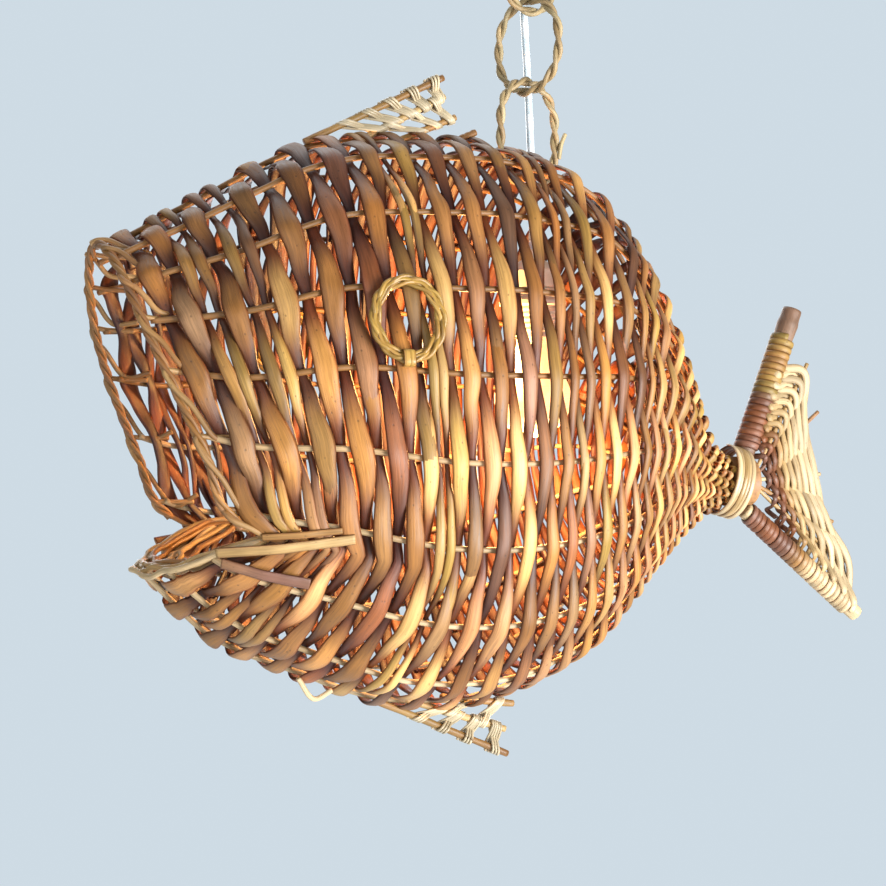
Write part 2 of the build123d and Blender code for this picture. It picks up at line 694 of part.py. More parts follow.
# ------------------------------------------------------------------ all pieces
def build():
    shell = basket_shell()
    body = body_form(RIDGE[0][0], RIDGE[-1][0], lambda x: -0.2)
    room = body_form(RIDGE[0][0], HOLLOW_END, lambda x: wall_at(x) + FIT)
    left_stakes = stakes(range(12, 16), room)
    entry_z = flex_points()[2][2]
    half_turn = CHAIN_TURN + 90
    parts = {
        "rose_backplate": rose_backplate(),
        "rose_cover": rose_cover(),
        "rose_nut": rose_nut(),
        "ceiling_hook": ceiling_hook(),
        "cord_grip": cord_grip(),
        "terminal_block": terminal_block(),
        "chain_ring_upper": ring(UPPER_TOP, RING_HEIGHT, CHAIN_TURN),
        "chain_ring_middle": ring(MIDDLE_TOP, RING_HEIGHT, half_turn),
        "chain_ring_lower": ring(LOWER_TOP, LOWER_RING_HEIGHT, CHAIN_TURN),
        "flex_ceiling": flex_between(0, HOOK_BAR_Z - 30),
        "flex_upper": flex_between(HOOK_BAR_Z - 30, UPPER_BOTTOM - 30),
        "flex_middle": flex_between(UPPER_BOTTOM - 30, MIDDLE_BOTTOM - 20),
        "flex_lower": flex_between(MIDDLE_BOTTOM - 20, entry_z),
        "flex_lamp": flex_between(entry_z, entry_z - 200),
        "weave_head": zone(shell, -400, HEAD_END),
        "weave_middle": zone(shell, HEAD_END, REAR_START),
        "weave_rear": zone(shell, REAR_START, 400),
        "stakes_back": stakes(range(-2, 3), room),
        "stakes_right": mirror(left_stakes, about=Plane.XZ),
        "stakes_left": left_stakes,
        "stakes_belly": stakes(range(7, 12), room),
        "hanging_rod": hanging_rod(),
        "mouth_border": mouth_border(),
        "jaw_rods": Compound(children=[jaw_rod(0, 0), jaw_rod(12, 0.2), jaw_rod(24, 0.2)]),
        "eye_ring_right": eye_ring(-1),
        "eye_ring_left": eye_ring(1),
        "eye_strap_right": eye_strap(-1),
        "eye_strap_left": eye_strap(1),
        "dorsal_rods": fin_rods(DORSAL_RODS + [DORSAL_STUB], body),
        "dorsal_weave": fin_bands(DORSAL_BANDS, DORSAL_RODS, 1),
        "belly_rods": fin_rods(BELLY_RODS, body),
        "belly_weave": fin_bands(BELLY_BANDS, BELLY_RODS, -1),
        "tail_tie": tail_tie(body),
        "tail_core": tail_core(),
        "tail_rod_upper": tail_rod(TAIL_UPPER_ROOT, TAIL_UPPER_TIP, UPPER_ROD_D),
        "tail_wrap_upper": tail_wrap(TAIL_UPPER_ROOT, TAIL_UPPER_TIP, UPPER_ROD_D, UPPER_WRAP_SHARE),
        "tail_rod_lower": tail_rod(TAIL_LOWER_ROOT, TAIL_LOWER_TIP, LOWER_ROD_D),
        "tail_wrap_lower": tail_wrap(TAIL_LOWER_ROOT, TAIL_LOWER_TIP, LOWER_ROD_D, LOWER_WRAP_SHARE),
        "tail_warps": tail_warps(),
        "tail_web": tail_web(),
        "holder_cap": holder_cap(),
        "holder_skirt": holder_skirt(),
        "holder_contact": holder_contact(),
        "holder_ring": holder_ring(),
        "bulb_cap": bulb_cap(),
        "bulb_contact": bulb_contact(),
        "bulb_glass": bulb_glass(),
        "bulb_filament": bulb_filament(),
    }
    return parts


os.makedirs("parts", exist_ok=True)
for name, shape in build().items():
    export_step(shape, f"parts/{name}.step")
    print(name, round(shape.volume))
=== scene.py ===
"""Looks of the woven willow fish pendant lamp, as a Blender add-on. Metres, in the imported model's frame."""

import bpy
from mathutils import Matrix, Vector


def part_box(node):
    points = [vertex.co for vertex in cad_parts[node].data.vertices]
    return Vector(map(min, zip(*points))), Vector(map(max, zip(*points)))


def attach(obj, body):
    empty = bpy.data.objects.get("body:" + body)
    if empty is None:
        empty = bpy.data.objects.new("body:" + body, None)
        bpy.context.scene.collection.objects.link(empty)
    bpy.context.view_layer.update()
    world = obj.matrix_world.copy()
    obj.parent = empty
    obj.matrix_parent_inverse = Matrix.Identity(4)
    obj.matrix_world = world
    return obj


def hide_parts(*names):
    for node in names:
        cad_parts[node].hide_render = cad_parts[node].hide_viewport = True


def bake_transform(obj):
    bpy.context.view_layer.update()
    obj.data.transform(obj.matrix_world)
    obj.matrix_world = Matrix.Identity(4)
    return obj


bl_info = {
    "name": "Woven willow fish lamp",
    "version": (1, 0, 0),
    "blender": (4, 5, 0),
    "location": "3D View > Sidebar > Willow Fish",
    "description": "Weaves a willow fish lampshade, its chain, flex and lamp round the packed model",
    "category": "Object",
}

import math

import bpy
import numpy as np
from bpy.props import FloatProperty, FloatVectorProperty, PointerProperty

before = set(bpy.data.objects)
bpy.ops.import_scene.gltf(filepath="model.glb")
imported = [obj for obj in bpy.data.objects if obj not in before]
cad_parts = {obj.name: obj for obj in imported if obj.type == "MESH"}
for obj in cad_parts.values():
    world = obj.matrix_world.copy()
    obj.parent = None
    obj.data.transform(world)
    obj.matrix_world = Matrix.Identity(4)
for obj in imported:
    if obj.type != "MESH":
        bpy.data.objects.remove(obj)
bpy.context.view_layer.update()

# ------------------------------------------------------------------ the basket's form, as the frame has it
# Each curve is (distance from the hanging axis along the fish, value), metres.
RIDGE = ((-.334, .137), (-.262, .178), (-.192, .216), (-.112, .229), (-.032, .227), (.038, .204),
         (.098, .132), (.138, .052), (.164, .002), (.180, -.010))
KEEL = ((-.334, -.062), (-.262, -.136), (-.192, -.170), (-.112, -.196), (-.032, -.194), (.038, -.165),
        (.098, -.106), (.138, -.072), (.164, -.056), (.180, -.052))
HALF_WIDTH = ((-.334, .066), (-.262, .098), (-.192, .120), (-.112, .132), (-.032, .131), (.038, .113),
              (.098, .077), (.138, .042), (.164, .024), (.180, .019))
MOUTH_EDGE = ((-.331, .140), (-.314, .078), (-.292, .023), (-.277, -.011), (-.263, -.046), (-.240, -.066))
LOWER_LIP = (-.309, -.094)
STAKES = 18
KEEL_AT = STAKES / 2
CHAIN_TURN = math.radians(20)

# ------------------------------------------------------------------ willow colours, linear
OCHRE = (.4, .185, .05)
CREAM = (.66, .44, .2)
TAN = (.46, .245, .09)
PURPLE = (.235, .11, .072)
GREY = (.36, .23, .14)
RUSSET = (.3, .105, .038)
OLIVE = (.42, .285, .085)
PINK = (.62, .355, .19)
PALE = (.8, .61, .36)
STRAW = (.56, .35, .1)


def smooth(stations, x):
    """Height of a smooth curve through the stations at every x: cubic pieces whose slopes at a
    station are the means of the slopes on its two sides."""
    x = np.asarray(x, float)
    at, value = np.array(stations, float).T
    gap = np.diff(at)
    slope = np.diff(value) / gap
    tangent = np.concatenate((slope[:1], (slope[:-1] * gap[1:] + slope[1:] * gap[:-1]) / (gap[:-1] + gap[1:]),
                              slope[-1:]))
    k = np.clip(np.searchsorted(at, x, side="right") - 1, 0, len(at) - 2)
    t = (x - at[k]) / gap[k]
    return ((1 + 2 * t) * (1 - t) ** 2 * value[k] + t * (1 - t) ** 2 * gap[k] * tangent[k]
            + t * t * (3 - 2 * t) * value[k + 1] + t * t * (t - 1) * gap[k] * tangent[k + 1])


RIDGE_TOP = float(smooth(RIDGE, np.linspace(-.135, .06, 200)).max())
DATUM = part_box("weave_middle")[1][2] - RIDGE_TOP


class Body:
    """The basket's outside as a grid: x along the fish, s round it in stakes, 0 on the ridge, STAKES / 4 on the
    right side and KEEL_AT below. A section is an ellipse, and s shares its girth evenly."""

    def __init__(self, columns=260, turns=361):
        self.x = np.linspace(-.350, .182, columns)
        self.s = np.linspace(0, STAKES, turns)
        ridge, keel = smooth(RIDGE, self.x), smooth(KEEL, self.x)
        self.high, self.mid, self.wide = (ridge - keel) / 2, (ridge + keel) / 2, smooth(HALF_WIDTH, self.x)
        a = np.linspace(0, 2 * np.pi, 721)
        girth = np.hypot(np.diff(np.sin(a))[None] * self.wide[:, None], np.diff(np.cos(a))[None] * self.high[:, None])
        girth = np.concatenate((np.zeros((columns, 1)), np.cumsum(girth, 1)), 1)
        share = girth / girth[:, -1:] * STAKES
        self.angle = np.array([np.interp(self.s, row, a) for row in share])
        self.place = np.stack((np.repeat(self.x[:, None], turns, 1),
                               -self.wide[:, None] * np.sin(self.angle),
                               self.mid[:, None] + DATUM + self.high[:, None] * np.cos(self.angle)), -1)
        along = np.gradient(self.place, self.x, axis=0)
        span = np.gradient(np.concatenate((self.place[:, -2:-1], self.place, self.place[:, 1:2]), 1), axis=1)[:, 1:-1]
        self.along, self.span = along, span / (self.s[1] - self.s[0])
        normal = np.cross(span, along)
        self.normal = normal / np.linalg.norm(normal, axis=-1, keepdims=True)
        if self.normal[columns // 2, 0, 2] < 0:
            self.normal = -self.normal

    def look(self, grid, x, s):
        """The grid's values at x and s, weighed between its four nearest points."""
        x, s = np.broadcast_arrays(np.asarray(x, float), np.mod(np.asarray(s, float), STAKES))
        u = np.clip((x - self.x[0]) / (self.x[1] - self.x[0]), 0, len(self.x) - 1.001)
        v = np.clip(s / (self.s[1] - self.s[0]), 0, len(self.s) - 1.001)
        i, j = u.astype(int), v.astype(int)
        u, v = u - i, v - j
        if grid.ndim == 3:
            u, v = u[..., None], v[..., None]
        return ((1 - u) * (1 - v) * grid[i, j] + u * (1 - v) * grid[i + 1, j]
                + (1 - u) * v * grid[i, j + 1] + u * v * grid[i + 1, j + 1])

    def at(self, x, s, lift=0.0):
        """Points at x and s, moved out along the normal by lift."""
        return self.look(self.place, x, s) + self.look(self.normal, x, s) * np.asarray(lift, float)[..., None]

    def out(self, x, s):
        n = self.look(self.normal, x, s)
        return n / np.linalg.norm(n, axis=-1, keepdims=True)

    def s_of(self, x, level):
        """How far round the right side a level above the datum is, at x."""
        reach = np.clip((level - np.interp(x, self.x, self.mid)) / np.interp(x, self.x, self.high), -1, 1)
        i = int(np.clip(np.searchsorted(self.x, x), 0, len(self.x) - 1))
        return float(np.interp(math.acos(reach), self.angle[i], self.s))

    def round_lines(self, x_start, s_start, steps, bow):
        """Half a line round the basket, ridge to keel, for each x at s_start, square to the stakes: dx/ds is
        minus the product of the two surface slopes over the square of the lengthwise one, times bow."""
        last, first = int(round(KEEL_AT * steps)), int(round(s_start * steps))
        lean = -(self.span * self.along).sum(-1) / (self.along ** 2).sum(-1) * bow
        lines = np.zeros((len(x_start), last + 1))
        lines[:, first] = x_start
        for way, count in ((-1, first), (1, last - first)):
            x = np.array(x_start, float)
            for k in range(count):
                s = first / steps + way * (k + .5) / steps
                x = np.clip(x + way * self.look(lean, x, np.full_like(x, s)) / steps, self.x[0], .1795)
                lines[:, first + way * (k + 1)] = x
        return lines


BODY = Body()


def mouth_x(level):
    """Where the basket starts, at a level above the datum."""
    level = np.asarray(level, float)
    upper = smooth([(z, x) for x, z in reversed(MOUTH_EDGE)], np.clip(level, MOUTH_EDGE[-1][1], MOUTH_EDGE[0][1]))
    corner = MOUTH_EDGE[-1]
    share = np.clip((corner[1] - level) / (corner[1] - LOWER_LIP[1]), 0, 1)
    return np.where(level > corner[1], upper, corner[0] + share * (LOWER_LIP[0] - corner[0]))


def unit(v):
    return v / np.maximum(np.linalg.norm(v, axis=-1, keepdims=True), 1e-12)


def wobble(rng, t, size, waves=5, longest=3.0):
    """A smooth random line: a sum of sines of rising pitch and falling height."""
    total = np.zeros_like(t)
    for k in range(waves):
        total += np.sin(t * 2 * np.pi * (k + 1) / longest + rng.uniform(0, 2 * np.pi)) * rng.uniform(.3, 1) / (k + 1)
    return total * size


# ------------------------------------------------------------------ meshes
class Sheaf:
    """Strips and rods gathered into one mesh, with a tint and a grain place on each vertex."""

    def __init__(self):
        self.points, self.tints, self.grains, self.rims, self.quads, self.fans = [], [], [], [], [], []
        self.count = 0
        self.runs = 0

    def add(self, rings, tint, closed=False, start=0.0, rim=1.0):
        """A skin over rings of points, (rings, points round, 3), with a fan on each open end. The grain is
        (length along, place across x and y), moved by its own amount on each run, and the rim is 1 on the
        open face and falls to 0 on the flat underside and edges, where the willow material paints shade."""
        n, m, _ = rings.shape
        tint = np.broadcast_to(np.asarray(tint, float).reshape((-1, 1, 3)), (n, m, 3))
        middle = rings.mean(1)
        travel = start + np.concatenate(([0], np.cumsum(np.linalg.norm(np.diff(middle, axis=0), axis=1))))
        turn = np.arange(m) / m * 2 * np.pi
        spread = np.linalg.norm(rings - middle[:, None], axis=-1)
        grain = np.stack((np.repeat(travel[:, None], m, 1), spread * np.cos(turn), spread * np.sin(turn)), -1)
        self.runs += 1
        grain = grain + np.array((0.0, self.runs * .137, self.runs * .071))
        i, j = np.arange(n if closed else n - 1)[:, None], np.arange(m)[None]
        i2, j2 = (i + 1) % n, (j + 1) % m
        quads = np.stack((i * m + j, i2 * m + j, i2 * m + j2, i * m + j2), -1).reshape(-1, 4) + self.count
        points, tints, grains = rings.reshape(-1, 3), tint.reshape(-1, 3), grain.reshape(-1, 3)
        rims = np.broadcast_to(rim, (n, m)).reshape(-1)
        if not closed:
            ends = np.array((0, n - 1))
            points = np.concatenate((points, middle[ends]))
            tints = np.concatenate((tints, tint[ends, 0]))
            grains = np.concatenate((grains, grain[ends].mean(1)))
            rims = np.concatenate((rims, (.5, .5)))
            j = np.arange(m)
            first = np.stack((np.full(m, n * m), j, (j + 1) % m), -1)
            last = np.stack((np.full(m, n * m + 1), (n - 1) * m + (j + 1) % m, (n - 1) * m + j), -1)
            self.fans.append(np.concatenate((first, last)) + self.count)
        self.points.append(points)
        self.tints.append(tints)
        self.grains.append(grains)
        self.rims.append(rims)
        self.quads.append(quads)
        self.count += len(points)

    def piece(self, name, material, body, slot, replaces=()):
        """Writes the mesh, and joins the piece to its CAD body."""
        points = np.concatenate(self.points)
        quads = np.concatenate(self.quads)
        fans = np.concatenate(self.fans) if self.fans else np.zeros((0, 3), int)
        mesh = bpy.data.meshes.new(name)
        mesh.vertices.add(len(points))
        mesh.vertices.foreach_set("co", points.astype(np.float32).ravel())
        corners = np.concatenate((quads.ravel(), fans.ravel())).astype(np.int32)
        mesh.loops.add(len(corners))
        mesh.loops.foreach_set("vertex_index", corners)
        starts = np.concatenate((np.arange(len(quads)) * 4, len(quads) * 4 + np.arange(len(fans)) * 3))
        mesh.polygons.add(len(starts))
        mesh.polygons.foreach_set("loop_start", starts.astype(np.int32))
        mesh.polygons.foreach_set("use_smooth", np.ones(len(starts), bool))
        mesh.update(calc_edges=True)
        colour = mesh.attributes.new("tint", "FLOAT_COLOR", "POINT")
        tints = np.concatenate(self.tints)
        opaque = np.concatenate((tints, np.ones((len(tints), 1))), 1)
        colour.data.foreach_set("color", opaque.astype(np.float32).ravel())
        grain = mesh.attributes.new("grain", "FLOAT_VECTOR", "POINT")
        grain.data.foreach_set("vector", np.concatenate(self.grains).astype(np.float32).ravel())
        rim = mesh.attributes.new("rim", "FLOAT", "POINT")
        rim.data.foreach_set("value", np.concatenate(self.rims).astype(np.float32))
        piece = bpy.data.objects.new(name, mesh)
        bpy.context.scene.collection.objects.link(piece)
        mesh.materials.append(material)
        if body:
            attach(piece, body)
        if replaces:
            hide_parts(*replaces)
        return piece


# rim round a split strip's section: 0 on the flat underside and low at the edges, where the willow material paints
# shade, 1 on the round top
SPLIT_RIM = np.array((.05, .70, 1, 1, .70, .05, .0, .0))
SPLIT = np.array(((1, 0), (.80, .55), (.38, .92), (-.38, .92), (-.80, .55), (-1, 0), (-.55, -.42), (.55, -.42)))


def frames(path, up, closed=False):
    """Directions along, across and out for each point of a path; out is up made square to the path."""
    if closed:
        along = unit(np.roll(path, -1, 0) - np.roll(path, 1, 0))
    else:
        along = unit(np.gradient(path, axis=0))
    out = unit(up - (up * along).sum(-1, keepdims=True) * along)
    return along, np.cross(along, out), out


def strip(sheaf, path, up, width, thick, tint, roll=0.0, closed=False, start=0.0, rim=SPLIT_RIM):
    """A split strip: flat below and round above, its section turned by roll about the path."""
    up = np.broadcast_to(np.asarray(up, float), path.shape)
    _, across, out = frames(path, up, closed)
    width, thick, roll = (np.broadcast_to(np.asarray(v, float), len(path))[:, None] for v in (width, thick, roll))
    a, o = across * np.cos(roll) + out * np.sin(roll), out * np.cos(roll) - across * np.sin(roll)
    b, h = SPLIT[:, 0][None, :, None], SPLIT[:, 1][None, :, None]
    rings = path[:, None] + a[:, None] * b * width[..., None] / 2 + o[:, None] * h * thick[..., None] / 2
    sheaf.add(rings, tint, closed, start, rim)


def rod(sheaf, path, up, radius, tint, sides=8, closed=False, flat=1.0, start=0.0):
    """A round rod: a circle carried along the path, flattened across by flat."""
    up = np.broadcast_to(np.asarray(up, float), path.shape)
    _, across, out = frames(path, up, closed)
    turn = np.arange(sides) / sides * 2 * np.pi
    radius = np.broadcast_to(np.asarray(radius, float), len(path))[:, None, None]
    rings = (path[:, None] + across[:, None] * np.cos(turn)[None, :, None] * radius
             + out[:, None] * np.sin(turn)[None, :, None] * radius * flat)
    sheaf.add(rings, tint, closed, start)


def through(points, count):
    """A smooth line of count points through the given ones, each coordinate a smooth curve over the
    length travelled."""
    points = np.array(points, float)
    travel = np.concatenate(([0], np.cumsum(np.linalg.norm(np.diff(points, axis=0), axis=1))))
    t = np.linspace(0, travel[-1], count)
    return np.stack([smooth(np.stack((travel, points[:, k]), 1), t) for k in range(points.shape[1])], -1)


# ------------------------------------------------------------------ materials
def node(tree, kind, at=(0, 0), **values):
    made = tree.nodes.new(kind)
    made.location = at
    for key, value in values.items():
        if key.startswith("in_"):
            made.inputs[int(key[3:])].default_value = value
        else:
            setattr(made, key, value)
    return made


def new_material(name):
    material = bpy.data.materials.new(name)
    material.use_nodes = True
    return material, material.node_tree, material.node_tree.nodes["Principled BSDF"]


def willow(name, rough=.5, coat=.0, streak=.55, freckle=.5, relief=.5, edge=.35):
    """Split or round willow: the tint of each run, fine grain along it, paler and darker patches,
    dark freckles and small scars, with grain in the bump and the gloss, and painted shade where the rim falls."""
    material, tree, shader = new_material(name)
    link = tree.links.new
    tint = node(tree, "ShaderNodeAttribute", (-1400, 300), attribute_name="tint")
    grain = node(tree, "ShaderNodeAttribute", (-1400, -200), attribute_name="grain")
    fine = node(tree, "ShaderNodeVectorMath", (-1180, -100), operation="MULTIPLY")
    fine.inputs[1].default_value = (24, 1500, 1500)
    broad = node(tree, "ShaderNodeVectorMath", (-1180, -320), operation="MULTIPLY")
    broad.inputs[1].default_value = (14, 120, 120)
    spots = node(tree, "ShaderNodeVectorMath", (-1180, -540), operation="MULTIPLY")
    spots.inputs[1].default_value = (150, 420, 420)
    for scale in (fine, broad, spots):
        link(grain.outputs["Vector"], scale.inputs[0])
    lines = node(tree, "ShaderNodeTexNoise", (-960, -60))
    lines.inputs["Scale"].default_value = 1.0
    lines.inputs["Detail"].default_value = 5.0
    lines.inputs["Roughness"].default_value = .62
    link(fine.outputs[0], lines.inputs["Vector"])
    patches = node(tree, "ShaderNodeTexNoise", (-960, -320))
    patches.inputs["Scale"].default_value = 1.0
    patches.inputs["Detail"].default_value = 3.0
    link(broad.outputs[0], patches.inputs["Vector"])
    dots = node(tree, "ShaderNodeTexVoronoi", (-960, -560))
    dots.inputs["Scale"].default_value = 1.0
    link(spots.outputs[0], dots.inputs["Vector"])
    shade = node(tree, "ShaderNodeMapRange", (-740, -60), in_1=.3, in_2=.72, in_3=1 - streak * .62,
                 in_4=1 + streak * .42)
    link(lines.outputs["Fac"], shade.inputs[0])
    wash = node(tree, "ShaderNodeMapRange", (-740, -320), in_1=.32, in_2=.7, in_3=.50, in_4=.86)
    link(patches.outputs["Fac"], wash.inputs[0])
    speck = node(tree, "ShaderNodeMapRange", (-740, -560), in_1=.05, in_2=.17, in_3=1 - freckle, in_4=1.0)
    link(dots.outputs["Distance"], speck.inputs[0])
    product = node(tree, "ShaderNodeMath", (-540, -160), operation="MULTIPLY")
    link(shade.outputs[0], product.inputs[0])
    link(wash.outputs[0], product.inputs[1])
    depth = node(tree, "ShaderNodeMath", (-380, -260), operation="MULTIPLY")
    link(product.outputs[0], depth.inputs[0])
    link(speck.outputs[0], depth.inputs[1])
    # painted shade: where rim falls to 0, on a strip's underside and edges, the tint is darkened towards deep brown
    rim = node(tree, "ShaderNodeAttribute", (-960, 520), attribute_name="rim")
    rim_shade = node(tree, "ShaderNodeMix", (-740, 420), data_type="RGBA")
    rim_shade.inputs[6].default_value = (.38, .16, .065, 1)
    rim_shade.inputs[7].default_value = (1, 1, 1, 1)
    link(rim.outputs["Fac"], rim_shade.inputs[0])
    rim_shaded = node(tree, "ShaderNodeVectorMath", (-480, 340), operation="MULTIPLY")
    link(tint.outputs["Color"], rim_shaded.inputs[0])
    link(rim_shade.outputs[2], rim_shaded.inputs[1])
    colour = node(tree, "ShaderNodeVectorMath", (-220, 200), operation="SCALE")
    link(rim_shaded.outputs[0], colour.inputs[0])
    link(depth.outputs[0], colour.inputs["Scale"])
    worn = node(tree, "ShaderNodeMix", (-40, 200), data_type="RGBA")
    worn.inputs[0].default_value = edge
    warm = node(tree, "ShaderNodeHueSaturation", (-40, 0))
    warm.inputs["Saturation"].default_value = 1.22
    warm.inputs["Value"].default_value = .93
    link(colour.outputs[0], warm.inputs["Color"])
    link(wash.outputs[0], worn.inputs[0])
    link(warm.outputs[0], worn.inputs[6])
    link(colour.outputs[0], worn.inputs[7])
    link(worn.outputs[2], shader.inputs["Base Color"])
    gloss = node(tree, "ShaderNodeMapRange", (-220, -420), in_1=.3, in_2=.7, in_3=rough - .17, in_4=rough + .08)
    link(lines.outputs["Fac"], gloss.inputs[0])
    link(gloss.outputs[0], shader.inputs["Roughness"])
    bump = node(tree, "ShaderNodeBump", (-220, -620))
    bump.inputs["Strength"].default_value = relief
    bump.inputs["Distance"].default_value = .0006
    link(depth.outputs[0], bump.inputs["Height"])
    link(bump.outputs[0], shader.inputs["Normal"])
    shader.inputs["Specular IOR Level"].default_value = .46
    shader.inputs["Coat Weight"].default_value = coat
    shader.inputs["Coat Roughness"].default_value = .35
    return material


def plain(name, colour, rough, metallic=0.0, scale=60.0, spread=.12, relief=.0, **sockets):
    """A fitting's finish: one colour with faint wear in its shade and gloss."""
    material, tree, shader = new_material(name)
    link = tree.links.new
    where = node(tree, "ShaderNodeTexCoord", (-900, 0))
    noise = node(tree, "ShaderNodeTexNoise", (-700, 0))
    noise.inputs["Scale"].default_value = scale
    noise.inputs["Detail"].default_value = 4.0
    link(where.outputs["Object"], noise.inputs["Vector"])
    shade = node(tree, "ShaderNodeMapRange", (-500, 120), in_1=.3, in_2=.7, in_3=1 - spread, in_4=1 + spread * .5)
    link(noise.outputs["Fac"], shade.inputs[0])
    tone = node(tree, "ShaderNodeVectorMath", (-300, 120), operation="SCALE")
    tone.inputs[0].default_value = colour
    link(shade.outputs[0], tone.inputs["Scale"])
    link(tone.outputs[0], shader.inputs["Base Color"])
    gloss = node(tree, "ShaderNodeMapRange", (-500, -120), in_1=.3, in_2=.7, in_3=rough * .8,
                 in_4=min(1.0, rough * 1.3))
    link(noise.outputs["Fac"], gloss.inputs[0])
    link(gloss.outputs[0], shader.inputs["Roughness"])
    if relief:
        bump = node(tree, "ShaderNodeBump", (-300, -300))
        bump.inputs["Strength"].default_value = relief
        bump.inputs["Distance"].default_value = .0004
        link(noise.outputs["Fac"], bump.inputs["Height"])
        link(bump.outputs[0], shader.inputs["Normal"])
    shader.inputs["Metallic"].default_value = metallic
    for key, value in sockets.items():
        shader.inputs[key.replace("_", " ")].default_value = value
    return material


def clear_flex(name, sheath, core):
    """Clear flex: two silvery conductors twisting inside a glossy skin, a helix in the grain's length and place."""
    material, tree, shader = new_material(name)
    link = tree.links.new
    grain = node(tree, "ShaderNodeAttribute", (-1300, 0), attribute_name="grain")
    parts = node(tree, "ShaderNodeSeparateXYZ", (-1100, 0))
    link(grain.outputs["Vector"], parts.inputs[0])
    turn = node(tree, "ShaderNodeMath", (-900, -120), operation="ARCTAN2")
    link(parts.outputs[2], turn.inputs[0])
    link(parts.outputs[1], turn.inputs[1])
    pitch = node(tree, "ShaderNodeMath", (-900, 60), operation="MULTIPLY", in_1=260.0)
    link(parts.outputs[0], pitch.inputs[0])
    twist = node(tree, "ShaderNodeMath", (-720, -120), operation="MULTIPLY", in_1=2.0)
    link(turn.outputs[0], twist.inputs[0])
    phase = node(tree, "ShaderNodeMath", (-560, 0), operation="ADD")
    link(pitch.outputs[0], phase.inputs[0])
    link(twist.outputs[0], phase.inputs[1])
    wave = node(tree, "ShaderNodeMath", (-400, 0), operation="SINE")
    link(phase.outputs[0], wave.inputs[0])
    share = node(tree, "ShaderNodeMapRange", (-240, 0), in_1=-.35, in_2=.55, in_3=0.0, in_4=1.0)
    link(wave.outputs[0], share.inputs[0])
    mix = node(tree, "ShaderNodeMix", (-60, 120), data_type="RGBA")
    mix.inputs[6].default_value = (*sheath, 1)
    mix.inputs[7].default_value = (*core, 1)
    link(share.outputs[0], mix.inputs[0])
    link(mix.outputs[2], shader.inputs["Base Color"])
    dull = node(tree, "ShaderNodeMapRange", (-60, -160), in_1=0.0, in_2=1.0, in_3=.12, in_4=.32)
    link(share.outputs[0], dull.inputs[0])
    link(dull.outputs[0], shader.inputs["Roughness"])
    shader.inputs["Transmission Weight"].default_value = .25
    shader.inputs["Coat Weight"].default_value = .9
    shader.inputs["Coat Roughness"].default_value = .06
    shader.inputs["Specular IOR Level"].default_value = .6
    return material


def lit_glass(name, colour, strength):
    """Lit opal glass: brightest in the middle of its height and warmer towards the neck."""
    material, tree, shader = new_material(name)
    link = tree.links.new
    where = node(tree, "ShaderNodeTexCoord", (-900, 0))
    parts = node(tree, "ShaderNodeSeparateXYZ", (-720, 0))
    link(where.outputs["Object"], parts.inputs[0])
    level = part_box("bulb_glass")
    height = node(tree, "ShaderNodeMapRange", (-540, 0), in_1=level[0][2], in_2=level[1][2], in_3=0.0, in_4=1.0)
    link(parts.outputs[2], height.inputs[0])
    ramp = node(tree, "ShaderNodeValToRGB", (-340, 0))
    ramp.color_ramp.elements[0].color = (*colour, 1)
    ramp.color_ramp.elements[0].position = .55
    ramp.color_ramp.elements[1].color = (colour[0], colour[1] * .72, colour[2] * .45, 1)
    link(height.outputs[0], ramp.inputs[0])
    link(ramp.outputs[0], shader.inputs["Emission Color"])
    shader.inputs["Emission Strength"].default_value = strength
    shader.inputs["Base Color"].default_value = (.9, .84, .74, 1)
    shader.inputs["Roughness"].default_value = .22
    return material


# ------------------------------------------------------------------ the weave
SPACING = ((-.24, .0098), (-.10, .0096), (-.05, .0087), (.02, .0076), (.06, .0062), (.10, .0053), (.18, .0048))
ZONES = {"head": (-1.0, -.135), "middle": (-.135, .060), "rear": (.060, 1.0)}
STEPS = 14


def first_places():
    """Where each round crosses the line of the mouth's corner: each is the last one and the spacing there."""
    at, gap = zip(*SPACING)
    places = [-.2325]
    while places[-1] < .1735:
        places.append(places[-1] + float(np.interp(places[-1], at, gap)))
    return np.array(places)


def round_curves(places):
    """Rounds by x at each step round the basket. Those at the front run parallel to the mouth's edge, those at
    the back square to the stakes, and the ones between are weighed by how far behind the mouth they are."""
    path = np.concatenate((edge_line(False, 0.0), edge_line(True, 0.0)))
    at = np.array([ridge_or_flank(point) for point in path])
    order = np.argsort(at)
    s = np.arange(int(KEEL_AT * STEPS) + 1) / STEPS
    edge = np.interp(s, at[order], path[order, 0])
    corner = int(np.argmax(edge))
    ring = np.concatenate((edge, edge[-2:0:-1]))
    reach = np.arange(-2 * STEPS, 2 * STEPS + 1)
    weight = np.exp(-(reach / STEPS / .7) ** 2 / 2)
    soft = np.array([np.roll(ring, int(k)) * w for k, w in zip(reach, weight / weight.sum())]).sum(0)[:len(edge)]
    behind = np.clip(1 - (places + .240) / .20, 0, 1)[:, None]
    shape = soft + (edge - soft) * behind ** 2
    square = BODY.round_lines(places, s[corner], STEPS, .8)
    half = square * (1 - behind) + (places[:, None] + shape - edge[corner]) * behind
    half = np.clip(half, BODY.x[0], .1795)
    return np.concatenate((half, half[:, -2:0:-1]), 1)


def ridge_s(x, y):
    """How far round the back a point is, from its distance beside the ridge."""
    i = int(np.searchsorted(BODY.x, x))
    quarter = len(BODY.s) // 4
    return -math.copysign(float(np.interp(abs(y), -BODY.place[i, :quarter, 1], BODY.s[:quarter])), y)


